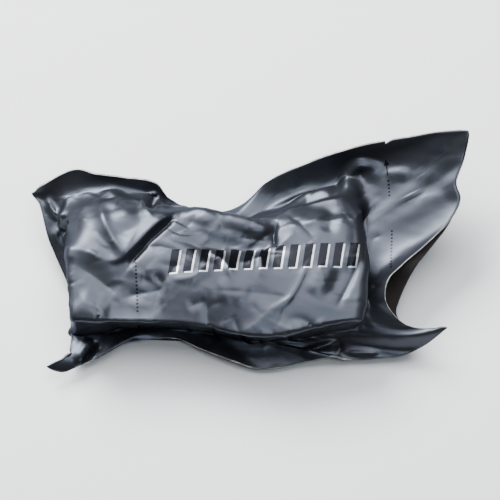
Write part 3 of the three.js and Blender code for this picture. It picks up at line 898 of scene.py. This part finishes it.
    def folded(self, side: FilmSide) -> tuple[Array, Array]:
        """The folded surface of one film.

        Args:
            side: which film.

        Returns:
            The film's points, and the smooth surface before folding.
        """
        sizes = self.sizes
        shared = self.surface(FilmSide.FRONT)
        ups = self.normals(shared)
        flat, flat_ups = shared.reshape(-1, 3), ups.reshape(-1, 3)
        lift = np.zeros(len(flat))
        for fold in self.folds:
            lift += fold.lift(flat, flat_ups)
        chance = self.small_creases.lift(flat, flat_ups) + self.large_creases.lift(flat, flat_ups)
        outward = smooth((self.ring.ravel() - sizes.base_ring) / self.margin_step)
        lift += chance * mix(1.0, self.margin_share, outward)
        lift += self.waves.lift(flat)
        lift = lift.reshape(self.ring.shape)
        tight = sizes.sinking * self.shoulder_radius(self.a, self.b)
        near_edge = smooth((self.ring - sizes.top_ring + sizes.sinking_ring) / sizes.sinking_ring)
        deepest = mix(sizes.fold_depth, np.minimum(tight, sizes.fold_depth), near_edge)
        lift = np.where(self.ring < sizes.base_ring, np.maximum(lift, -deepest), lift)
        lift = lift + self.gathered()
        moved = shared + ups * lift[..., None]
        if side is FilmSide.FRONT:
            return moved, shared
        plain = self.surface(FilmSide.BACK)
        under = self.normals(plain)
        small = self.under_creases.lift(plain.reshape(-1, 3), under.reshape(-1, 3))
        small = np.minimum(small.reshape(self.ring.shape), self.under_limit)
        fade = smooth((self.ring - sizes.base_ring + self.under_fade) / self.under_fade)[..., None]
        own = plain + under * np.abs(small)[..., None] * (1 - fade)
        return own + (moved - shared) * fade, plain


class NodeBench:
    """Adds nodes to one tree and links them, from left to right."""

    def __init__(self, tree: bpy.types.NodeTree) -> None:
        """Keeps the tree that the nodes go into.

        Args:
            tree: a material's or a group's node tree.
        """
        self.tree = tree

    def fill(self, node: bpy.types.Node, inputs: dict[str | int, object]) -> None:
        """Gives a node's inputs their values or links.

        Args:
            node: the node.
            inputs: a value or a socket for each input, by its name or number.
        """
        for name, value in inputs.items():
            if isinstance(value, Socket):
                self.tree.links.new(value, node.inputs[name])
            else:
                node.inputs[name].default_value = value

    def add(self, kind: str, inputs: dict[str | int, object] | None = None,
            **settings: object) -> bpy.types.Node:
        """Adds one node.

        Args:
            kind: the node's type name.
            inputs: values or sockets for its inputs.
            settings: the node's own properties.

        Returns:
            The node.
        """
        node = self.tree.nodes.new(kind)
        for name, value in settings.items():
            setattr(node, name, value)
        self.fill(node, inputs or {})
        return node

    def math(self, operation: str, first: Socket | float, second: Socket | float = 0.0,
             clamp: bool = False) -> Socket:
        """Adds a Math node.

        Args:
            operation: the node's operation.
            first: its first value or socket.
            second: its second value or socket.
            clamp: whether the result is held between 0 and 1.

        Returns:
            The node's output.
        """
        values = {0: first, 1: second}
        return self.add("ShaderNodeMath", values, operation=operation, use_clamp=clamp).outputs[0]

    def ramp(self, factor: Socket, low: float, high: float) -> Socket:
        """Stretches a part of a value over 0 to 1, eased at both ends.

        Args:
            factor: the value.
            low: what becomes 0.
            high: what becomes 1.

        Returns:
            The stretched value.
        """
        values = {"Value": factor, "From Min": low, "From Max": high}
        return self.add("ShaderNodeMapRange", values, interpolation_type="SMOOTHSTEP").outputs["Result"]

    def blend(self, share: Socket | float, first: object, second: object) -> Socket:
        """Mixes two colours.

        Args:
            share: how much of the second colour there is.
            first: the first colour or its socket.
            second: the second colour or its socket.

        Returns:
            The mixed colour.
        """
        values = {0: share, 6: first, 7: second}
        return self.add("ShaderNodeMix", values, data_type="RGBA").outputs[2]

    def noise(self, place: Socket, scale: float, detail: float, output: int | str = 0) -> Socket:
        """Adds a noise texture.

        Args:
            place: where it is read.
            scale: its cells in a metre.
            detail: how many finer layers it has.
            output: which of its outputs is wanted.

        Returns:
            That output.
        """
        values = {"Vector": place, "Scale": scale, "Detail": detail}
        return self.add("ShaderNodeTexNoise", values).outputs[output]


def new_group(name: str, outputs: tuple[str, ...]) -> tuple[NodeBench, bpy.types.Node]:
    """Makes an empty shader node group.

    Args:
        name: the group's name.
        outputs: names of its outputs, which are all plain values.

    Returns:
        The bench of the group's tree, and its output node.
    """
    group = bpy.data.node_groups.new(name, "ShaderNodeTree")
    for label in outputs:
        group.interface.new_socket(label, in_out="OUTPUT", socket_type="NodeSocketFloat")
    return NodeBench(group), group.nodes.new("NodeGroupOutput")


def new_material(name: str) -> tuple[bpy.types.Material, NodeBench, bpy.types.Node]:
    """Makes a plain material.

    Args:
        name: the material's name.

    Returns:
        The material, the bench of its tree, and its shader.
    """
    made = bpy.data.materials.new(name)
    made.use_nodes = True
    return made, NodeBench(made.node_tree), made.node_tree.nodes["Principled BSDF"]


@dataclass(frozen=True)
class Crinkles:
    """Fine crinkles of foil: facets with creased borders, and a grain over them. Scales are per metre."""

    name: str = "foil_crinkle"
    drift_scale: float = 60.0
    drift: float = 0.012
    facet_scale: float = 110.0
    crease_width: float = 0.16
    crease_height: float = 0.08
    dent_scale: float = 170.0
    dent_height: float = 0.5
    grain_scale: float = 900.0
    grain_height: float = 0.12
    cloud_scale: float = 28.0

    def group(self) -> bpy.types.NodeTree:
        """Makes the node group, once for all foils.

        Returns:
            The group, which puts out the crinkles' height and a cloud of darker and lighter places.
        """
        if self.name in bpy.data.node_groups:
            return bpy.data.node_groups[self.name]
        bench, target = new_group(self.name, ("Height", "Cloud"))
        place = bench.add("ShaderNodeTexCoord").outputs["Object"]
        drift = bench.noise(place, self.drift_scale, 2.0, "Color")
        swirl = bench.add("ShaderNodeVectorMath", {0: drift, 1: (self.drift,) * 3}, operation="MULTIPLY")
        moved = {0: place, 1: swirl.outputs[0]}
        warped = bench.add("ShaderNodeVectorMath", moved, operation="ADD").outputs[0]
        facets = bench.add("ShaderNodeTexVoronoi", {"Vector": warped, "Scale": self.facet_scale},
                           feature="DISTANCE_TO_EDGE")
        crease = bench.ramp(facets.outputs["Distance"], 0.0, self.crease_width)
        creases = bench.math("MULTIPLY", crease, self.crease_height)
        dents = bench.math("MULTIPLY", bench.noise(warped, self.dent_scale, 1.0), self.dent_height)
        grain = bench.math("MULTIPLY", bench.noise(place, self.grain_scale, 3.0), self.grain_height)
        height = bench.math("ADD", bench.math("ADD", creases, dents), grain)
        bench.fill(target, {"Height": height, "Cloud": bench.noise(place, self.cloud_scale, 4.0)})
        return bench.tree


@dataclass(frozen=True)
class PrintLine:
    """A straight run of print on the front film, from one place to another, in millimetres."""

    start: tuple[float, float]
    end: tuple[float, float]


@dataclass(frozen=True)
class FilmPlan:
    """The film's places in a node tree, and masks that are drawn from them. All are millimetres."""

    bench: NodeBench
    x: Socket
    y: Socket
    blur: float = 0.1

    def along(self, line: PrintLine) -> tuple[Socket, Socket, float]:
        """Turns places on the film into places along and across a run of print.

        Args:
            line: the run.

        Returns:
            The place along, the place across, and the run's length.
        """
        bench = self.bench
        step = (line.end[0] - line.start[0], line.end[1] - line.start[1])
        length = math.hypot(*step)
        east, north = step[0] / length, step[1] / length
        over = bench.math("SUBTRACT", self.x, line.start[0])
        up = bench.math("SUBTRACT", self.y, line.start[1])
        along = bench.math("ADD", bench.math("MULTIPLY", over, east), bench.math("MULTIPLY", up, north))
        across = bench.math("SUBTRACT", bench.math("MULTIPLY", up, east),
                            bench.math("MULTIPLY", over, north))
        return along, across, length

    def band(self, value: Socket, low: float, high: float) -> Socket:
        """A mask that is 1 where a value lies in a range.

        Args:
            value: the value.
            low: the range's start.
            high: the range's end.

        Returns:
            The mask, with soft edges.
        """
        rise = self.bench.ramp(value, low - self.blur, low + self.blur)
        fall = self.bench.ramp(value, high - self.blur, high + self.blur)
        return self.bench.math("SUBTRACT", rise, fall, clamp=True)

    def stripes(self, value: Socket, pitch: float, gap: float, width: float) -> Socket:
        """A mask of even stripes along a value.

        Args:
            value: the value.
            pitch: from one stripe to the next.
            gap: where each stripe starts in its pitch.
            width: how wide it is.

        Returns:
            The mask.
        """
        turns = self.bench.math("FRACT", self.bench.math("DIVIDE", value, pitch))
        return self.band(self.bench.math("MULTIPLY", turns, pitch), gap, gap + width)

    def patch(self, first: Socket, first_range: tuple[float, float], second: Socket,
              second_range: tuple[float, float]) -> Socket:
        """A mask that is 1 where two values both lie in their ranges.

        Args:
            first: one value.
            first_range: its start and end.
            second: the other value.
            second_range: its start and end.

        Returns:
            The mask.
        """
        inside = self.band(first, *first_range)
        return self.bench.math("MULTIPLY", inside, self.band(second, *second_range))


@dataclass(frozen=True)
class PrintMarks:
    """Plain print: a row of slanted bars, a tear arrow and dashed lines, with a pale offset copy of the
    bars that is a painted highlight, like the lit edge of raised letters.
    """

    bars: PrintLine = PrintLine((-42.0, -17.0), (57.0, -12.5))
    bar_height: float = 12.5
    bar_pitch: float = 7.6
    bar_gap: float = 0.3
    bar_width: float = 4.2
    bar_slant: float = 0.2
    # How far the pale painted highlight is moved from the bars, in millimetres.
    shade: float = 0.75
    arrow: PrintLine = PrintLine((71.7, 41.7), (70.4, 50.0))
    shaft: float = 0.35
    shaft_lap: float = 0.4
    head: float = 3.2
    head_half: float = 1.5
    head_blur: float = 0.08
    dashes: tuple[PrintLine, ...] = (
        PrintLine((71.9, 39.5), (72.4, 30.5)), PrintLine((73.3, 13.0), (72.7, -9.5)),
        PrintLine((-58.3, -9.0), (-57.0, -37.0)),
    )
    dash_pitch: float = 1.9
    dash_gap: float = 0.2
    dash_width: float = 1.0
    dash_half: float = 0.5

    def bar_mask(self, plan: FilmPlan, shift: float) -> Socket:
        """The mask of the slanted bars.

        Args:
            plan: the film's places.
            shift: how far the bars are moved to the right and down.

        Returns:
            The mask.
        """
        bench = plan.bench
        along, across, length = plan.along(self.bars)
        along, across = bench.math("SUBTRACT", along, shift), bench.math("ADD", across, shift)
        slanted = bench.math("SUBTRACT", along, bench.math("MULTIPLY", across, self.bar_slant))
        bar = plan.stripes(slanted, self.bar_pitch, self.bar_gap, self.bar_width)
        window = plan.patch(slanted, (0.0, length), across, (0.0, self.bar_height))
        return bench.math("MULTIPLY", bar, window)

    def arrow_mask(self, plan: FilmPlan) -> Socket:
        """The mask of the tear arrow.

        Args:
            plan: the film's places.

        Returns:
            The mask.
        """
        bench = plan.bench
        along, across, length = plan.along(self.arrow)
        aside = bench.math("ABSOLUTE", across)
        neck = length - self.head
        shaft = plan.patch(along, (0.0, neck + self.shaft_lap), aside, (-1.0, self.shaft))
        half = bench.math("MULTIPLY", bench.math("SUBTRACT", length, along), self.head_half / self.head)
        inside = bench.ramp(bench.math("SUBTRACT", half, aside), -self.head_blur, self.head_blur)
        head = bench.math("MULTIPLY", inside, plan.band(along, neck, length + 1.0))
        return bench.math("MAXIMUM", shaft, head)

    def dash_mask(self, plan: FilmPlan, line: PrintLine) -> Socket:
        """The mask of one dashed line.

        Args:
            plan: the film's places.
            line: where the line runs.

        Returns:
            The mask.
        """
        along, across, length = plan.along(line)
        dash = plan.stripes(along, self.dash_pitch, self.dash_gap, self.dash_width)
        window = plan.patch(along, (0.0, length), across, (-self.dash_half, self.dash_half))
        return plan.bench.math("MULTIPLY", dash, window)

    def group(self) -> bpy.types.NodeTree:
        """Makes the node group that puts out the ink and the pale painted highlight as masks.

        Returns:
            The group.
        """
        bench, target = new_group("print_marks", ("Ink", "Pale"))
        place = bench.add("ShaderNodeUVMap", uv_map=PLAN_MAP).outputs[0]
        sides = bench.add("ShaderNodeSeparateXYZ", {0: place}).outputs
        plan = FilmPlan(bench, *(bench.math("DIVIDE", sides[axis], MM) for axis in (0, 1)))
        ink = self.bar_mask(plan, 0.0)
        # pale is a painted highlight: the bars moved by shade, less the ink, like the lit edge of raised
        # print.
        pale = bench.math("SUBTRACT", self.bar_mask(plan, self.shade), ink, clamp=True)
        for mask in (self.arrow_mask(plan), *(self.dash_mask(plan, line) for line in self.dashes)):
            ink = bench.math("MAXIMUM", ink, mask)
        bench.fill(target, {"Ink": ink, "Pale": pale})
        return bench.tree


@dataclass(frozen=True)
class FoilFinish:
    """A satin foil laminate: colour, gloss and how finely it is crinkled."""

    name: str
    deep: Colour
    light: Colour
    roughness: float
    crinkle: float
    marks: PrintMarks | None = None
    metallic: float = 0.8
    tint: Colour = (0.3, 0.32, 0.38)
    refraction: float = 1.4
    cloud_range: tuple[float, float] = (0.35, 0.7)
    gloss_range: float = 0.1
    crinkle_depth: float = 0.6
    ink: Colour = (0.008, 0.008, 0.01)
    ink_cover: float = 0.92
    ink_gloss: float = 0.1
    # The pale colour paints a highlight beside the printed bars.
    pale: Colour = (0.5, 0.51, 0.53)
    pale_cover: float = 0.8

    def material(self) -> bpy.types.Material:
        """Makes the finish's material.

        Returns:
            The material.
        """
        made, bench, shader = new_material(self.name)
        crinkles = bench.add("ShaderNodeGroup", node_tree=Crinkles().group()).outputs
        cloud = bench.ramp(crinkles["Cloud"], *self.cloud_range)
        colour = bench.blend(cloud, (*self.deep, 1.0), (*self.light, 1.0))
        uneven = bench.math("MULTIPLY", bench.math("SUBTRACT", cloud, 0.5), self.gloss_range)
        gloss = bench.math("ADD", self.roughness, uneven)
        bump = bench.add("ShaderNodeBump", {"Height": crinkles["Height"], "Strength": self.crinkle,
                                            "Distance": self.crinkle_depth * MM})
        if self.marks:
            masks = bench.add("ShaderNodeGroup", node_tree=self.marks.group()).outputs
            prints = (("Ink", self.ink_cover, self.ink), ("Pale", self.pale_cover, self.pale))
            for mask, cover, paint in prints:
                colour = bench.blend(bench.math("MULTIPLY", masks[mask], cover), colour, (*paint, 1.0))
            gloss = bench.math("SUBTRACT", gloss, bench.math("MULTIPLY", masks["Ink"], self.ink_gloss))
        bench.fill(shader, {"Base Color": colour, "Roughness": gloss, "Normal": bump.outputs["Normal"],
                            "Metallic": self.metallic, "Specular Tint": (*self.tint, 1.0),
                            "IOR": self.refraction})
        return made


@dataclass(frozen=True)
class EdgeFinish:
    """The cut edge of the laminate, pale: partly its clear layers, partly a painted highlight along the
    edge.
    """

    name: str = "foil_cut_edge_highlight"
    # Pale colour of the cut: partly the clear layers, partly a painted highlight.
    colour: Colour = (0.5, 0.485, 0.46)
    dullness: float = 0.45
    spot_scale: float = 260.0
    spot_range: tuple[float, float] = (0.4, 0.6)
    roughness: float = 0.4

    def material(self) -> bpy.types.Material:
        """Makes the finish's material.

        Returns:
            The material.
        """
        made, bench, shader = new_material(self.name)
        place = bench.add("ShaderNodeTexCoord").outputs["Object"]
        spots = bench.ramp(bench.noise(place, self.spot_scale, 2.0), *self.spot_range)
        dull = tuple(part * self.dullness for part in self.colour)
        colour = bench.blend(spots, (*dull, 1.0), (*self.colour, 1.0))
        bench.fill(shader, {"Base Color": colour, "Roughness": self.roughness})
        return made


@dataclass(frozen=True)
class ClothFinish:
    """The bandage's woven elastic cloth."""

    name: str = "bandage_weave"
    thread: Colour = (0.56, 0.52, 0.41)
    gap: Colour = (0.33, 0.3, 0.22)
    thread_scale: float = 250.0
    waver: float = 0.6
    fuzz_scale: float = 900.0
    fuzz_height: float = 0.4
    relief: float = 0.6
    relief_depth: float = 0.4
    roughness: float = 0.9
    sheen: float = 0.2

    def material(self) -> bpy.types.Material:
        """Makes the finish's material.

        Returns:
            The material.
        """
        made, bench, shader = new_material(self.name)
        place = bench.add("ShaderNodeTexCoord").outputs["Object"]
        wave = {"Vector": place, "Scale": self.thread_scale, "Distortion": self.waver}
        threads = [bench.add("ShaderNodeTexWave", wave, bands_direction=axis) for axis in ("X", "Y")]
        weave = bench.math("MAXIMUM", *(thread.outputs["Fac"] for thread in threads))
        fuzz = bench.math("MULTIPLY", bench.noise(place, self.fuzz_scale, 3.0), self.fuzz_height)
        colour = bench.blend(weave, (*self.gap, 1.0), (*self.thread, 1.0))
        height = bench.math("ADD", weave, fuzz)
        bump = bench.add("ShaderNodeBump", {"Height": height, "Strength": self.relief,
                                            "Distance": self.relief_depth * MM})
        bench.fill(shader, {"Base Color": colour, "Normal": bump.outputs["Normal"],
                            "Roughness": self.roughness, "Sheen Weight": self.sheen})
        return made


def clear_selection() -> None:
    """Deselects every object, so that the next operator acts on new work alone."""
    if bpy.context.object and bpy.context.object.mode != "OBJECT":
        bpy.ops.object.mode_set(mode="OBJECT")
    bpy.ops.object.select_all(action="DESELECT")


def apply_modifiers(piece: bpy.types.Object) -> None:
    """Applies every modifier of a piece, in order.

    Args:
        piece: the piece's object.
    """
    clear_selection()
    piece.select_set(True)
    bpy.context.view_layer.objects.active = piece
    for modifier in list(piece.modifiers):
        bpy.ops.object.modifier_apply(modifier=modifier.name)


def read_points(mesh: bpy.types.Mesh) -> Array:
    """Reads where a mesh's vertices are.

    Args:
        mesh: the mesh.

    Returns:
        One row for each vertex.
    """
    raw = np.empty(len(mesh.vertices) * 3)
    mesh.vertices.foreach_get("co", raw)
    return raw.reshape(-1, 3)


def write_points(mesh: bpy.types.Mesh, points: Array) -> None:
    """Moves a mesh's vertices to places given in millimetres."""
    mesh.vertices.foreach_set("co", (points * MM).ravel())


@dataclass
class FoilFilm:
    """One film of the pouch as a thin closed sheet."""

    pouch: ShrunkPouch
    side: FilmSide
    name: str
    node: str
    slot: str
    finishes: tuple[FoilFinish | EdgeFinish, ...]

    def build(self) -> bpy.types.Object:
        """Builds and dresses the film.

        Returns:
            The film's object.
        """
        sizes = self.pouch.sizes
        grid, plain = self.pouch.folded(self.side)
        nx, ny = grid.shape[:2]
        clear_selection()
        bpy.ops.mesh.primitive_grid_add(x_subdivisions=nx - 1, y_subdivisions=ny - 1, size=2.0)
        film = bpy.context.object
        film.name = film.data.name = self.name
        mesh = film.data
        raw = read_points(mesh)
        column = np.rint((raw[:, 0] + 1) / 2 * (nx - 1)).astype(int)
        line = np.rint((raw[:, 1] + 1) / 2 * (ny - 1)).astype(int)
        step = self.side.value * (sizes.film_gap + sizes.film_wall) / 2
        placed = grid + self.pouch.normals(grid) * step
        if self.side is FilmSide.BACK:
            placed[..., 2] = np.maximum(placed[..., 2], sizes.film_wall / 2 + sizes.floor_clearance)
        write_points(mesh, placed[column, line])
        corner = np.empty(len(mesh.loops), dtype=int)
        mesh.loops.foreach_get("vertex_index", corner)
        mesh.uv_layers.active.name = PLAN_MAP
        mesh.uv_layers.active.data.foreach_set("uv", (plain[column, line, :2] * MM)[corner].ravel())
        for finish in self.finishes:
            mesh.materials.append(finish.material())
        wall = film.modifiers.new("wall", "SOLIDIFY")
        wall.thickness, wall.offset = sizes.film_wall * MM, 0.0
        wall.material_offset, wall.material_offset_rim = 1, 2
        apply_modifiers(film)
        bpy.ops.object.shade_smooth()
        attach(film, "root")
        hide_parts(self.node)
        LOG.info("%s: %d faces", self.name, len(film.data.polygons))
        return film


@dataclass
class BandageRoll:
    """The pressed roll inside the pouch: layers wound round each other, seen at the two ends."""

    sizes: PouchSizes = PouchSizes()
    name: str = "bandage_cloth_roll"
    sides: int = 80
    layers: int = 6
    layer_inset: float = 0.05
    groove: float = 0.012
    end_trim: float = 2.0
    shrink: float = 0.92
    narrow: float = 0.82
    squareness: int = 3
    edge_radius: float = 1.5
    smooth_angle: float = 35.0

    def wind(self, roll: bpy.types.Object) -> None:
        """Sinks and raises the edges of the wound layers in turn, at both ends.

        Args:
            roll: the plain cylinder, 1 long and 1 wide.
        """
        bpy.ops.object.mode_set(mode="EDIT")
        bpy.ops.mesh.select_mode(type="FACE")
        for end in (-0.5, 0.5):
            bpy.ops.mesh.select_all(action="DESELECT")
            bpy.ops.object.mode_set(mode="OBJECT")
            for face in roll.data.polygons:
                face.select = abs(face.center.x - end) < 0.01 and abs(face.normal.x) > 0.9
            bpy.ops.object.mode_set(mode="EDIT")
            for layer in range(self.layers):
                bpy.ops.mesh.inset(thickness=self.layer_inset, depth=0.0)
                bpy.ops.mesh.inset(thickness=self.groove, depth=self.groove * (layer % 2 * 2 - 1))
        bpy.ops.object.mode_set(mode="OBJECT")

    def pressed(self, raw: Array) -> Array:
        """Presses the cylinder flat and bends it with the pouch.

        Args:
            raw: the cylinder's points.

        Returns:
            The roll's points.
        """
        sizes = self.sizes
        turn = np.arctan2(raw[:, 2], raw[:, 1])
        sine, cosine = np.sin(turn), np.cos(turn)
        power = self.squareness
        square = (np.abs(cosine) ** power + np.abs(sine) ** power) ** (-1 / power)
        far = np.hypot(raw[:, 1], raw[:, 2]) * square
        length = (sizes.roll_length - self.end_trim) * self.shrink
        x = raw[:, 0] * length
        centre_z = sizes.solid_wall + sizes.piece_gap + sizes.roll_height * self.shrink / 2
        return np.stack([
            x + sizes.centre_x,
            far * cosine * sizes.roll_width * self.narrow + sizes.centre_y - sizes.bend_at(x),
            far * sine * sizes.roll_height * self.shrink + centre_z,
        ], axis=-1)

    def build(self) -> bpy.types.Object:
        """Builds and dresses the roll.

        Returns:
            The roll's object.
        """
        clear_selection()
        bpy.ops.mesh.primitive_cylinder_add(vertices=self.sides, radius=0.5, depth=1.0,
                                            rotation=(0, math.pi / 2, 0))
        roll = bpy.context.object
        roll.name = roll.data.name = self.name
        bpy.ops.object.transform_apply(location=False, rotation=True, scale=False)
        self.wind(roll)
        write_points(roll.data, self.pressed(read_points(roll.data)))
        roll.data.materials.append(ClothFinish().material())
        bevel = roll.modifiers.new("soft_edges", "BEVEL")
        bevel.width, bevel.segments, bevel.limit_method = self.edge_radius * MM, 3, "ANGLE"
        apply_modifiers(roll)
        bpy.ops.object.shade_smooth_by_angle(angle=math.radians(self.smooth_angle))
        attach(roll, "root")
        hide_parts("bandage_roll")
        LOG.info("%s: %d faces", self.name, len(roll.data.polygons))
        return roll


# The soft lights, in metres and watts. Each of them faces the pouch.
LIGHT_ROWS = (
    # name, place, width and height, power, colour
    ("overhead", (0.05, 0.48, 1.35), (1.5, 1.0), 29.0, (0.97, 0.98, 1.0)),
    ("key", (-0.55, 0.95, 0.95), (0.8, 0.6), 58.0, (0.97, 0.98, 1.0)),
    ("left", (-0.95, 0.42, 0.75), (0.5, 0.5), 5.0, (0.9, 0.95, 1.0)),
    ("near", (0.25, -0.38, 1.35), (0.5, 0.3), 5.0, (0.8, 0.9, 1.0)),
)


@dataclass
class Studio:
    """The plain pale floor, the soft lights and the camera. Places and sizes are metres."""

    target: Place = (0.0001, 0.0091, 0.0)
    elevation: float = 70.0
    view_width: float = 0.26
    lens: float = 300.0
    sensor: float = 36.0
    clip_range: tuple[float, float] = (0.1, 20.0)
    floor_size: float = 5.0
    floor_drop: float = 0.0003
    floor_grey: float = 0.86
    room_colour: Colour = (1.0, 0.88, 0.8)
    room_strength: float = 0.05

    def floor(self) -> None:
        """Lays the floor."""
        clear_selection()
        bpy.ops.mesh.primitive_plane_add(size=self.floor_size, location=(0, 0, -self.floor_drop))
        floor = bpy.context.object
        floor.name = "pale_floor"
        bpy.ops.object.transform_apply(location=True, rotation=False, scale=False)
        made, bench, shader = new_material("pale_paper")
        grey = (self.floor_grey,) * 3
        bench.fill(shader, {"Base Color": (*grey, 1.0), "Roughness": 0.9, "Specular IOR Level": 0.1})
        floor.data.materials.append(made)

    @staticmethod
    def hang(name: str, data: bpy.types.ID, place: Array) -> bpy.types.Object:
        """Puts a lamp or a camera in the scene.

        Args:
            name: the object's name.
            data: the lamp or the camera.
            place: where it hangs.

        Returns:
            The object.
        """
        holder = bpy.data.objects.new(name, data)
        bpy.context.scene.collection.objects.link(holder)
        holder.location = place
        return holder

    def lights(self) -> None:
        """Hangs the soft lights."""
        for name, place, size, power, colour in LIGHT_ROWS:
            lamp = bpy.data.lights.new(name, "AREA")
            lamp.shape = "RECTANGLE"
            lamp.size, lamp.size_y = size
            lamp.energy, lamp.color = power, colour
            aim = Vector(np.array(self.target) - np.array(place))
            self.hang(name, lamp, place).rotation_euler = aim.to_track_quat("-Z", "Y").to_euler()

    def build(self) -> None:
        """Sets up the floor, lights, surroundings and camera."""
        self.floor()
        self.lights()
        world = bpy.data.worlds.new("room")
        bpy.context.scene.world = world
        world.use_nodes = True
        background = world.node_tree.nodes["Background"]
        NodeBench(world.node_tree).fill(background, {"Color": (*self.room_colour, 1.0),
                                                     "Strength": self.room_strength})
        turn = math.radians(self.elevation)
        back = np.array([0.0, -math.cos(turn), math.sin(turn)])
        far = self.lens / self.sensor * self.view_width
        camera = bpy.data.cameras.new("camera")
        camera.lens, camera.sensor_width = self.lens, self.sensor
        camera.clip_start, camera.clip_end = self.clip_range
        holder = self.hang("camera", camera, np.array(self.target) + back * far)
        holder.rotation_euler = (math.pi / 2 - turn, 0.0, 0.0)
        bpy.context.scene.camera = holder


def main() -> None:
    """Builds the bandage's looks, piece by piece."""
    logging.basicConfig(level=logging.INFO, format="%(message)s")
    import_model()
    pouch = ShrunkPouch()
    outside = FoilFinish("foil_outside", (0.045, 0.049, 0.06), (0.058, 0.063, 0.076), 0.37, 0.12,
                         marks=PrintMarks())
    # The inside finish is painted light: a darker, warmer copy of the outside foil that stands in for
    # painted shade and a painted brown reflection on the films' inner faces.
    inside = FoilFinish("foil_inside_painted_reflection", (0.03, 0.026, 0.024), (0.042, 0.037, 0.034), 0.42, 0.14)
    underside = FoilFinish("foil_underside", (0.042, 0.045, 0.055), (0.054, 0.058, 0.069), 0.44, 0.12)
    edge = EdgeFinish()
    roll = BandageRoll().build()
    front = FoilFilm(pouch, FilmSide.FRONT, "front_foil_film", "front_film", "front_foil",
                     (outside, inside, edge)).build()
    back = FoilFilm(pouch, FilmSide.BACK, "back_foil_film", "back_film", "back_foil",
                    (inside, underside, edge)).build()
    Studio().build()
    LOG.info("all pieces built")


if __name__ == "__main__":
    main()
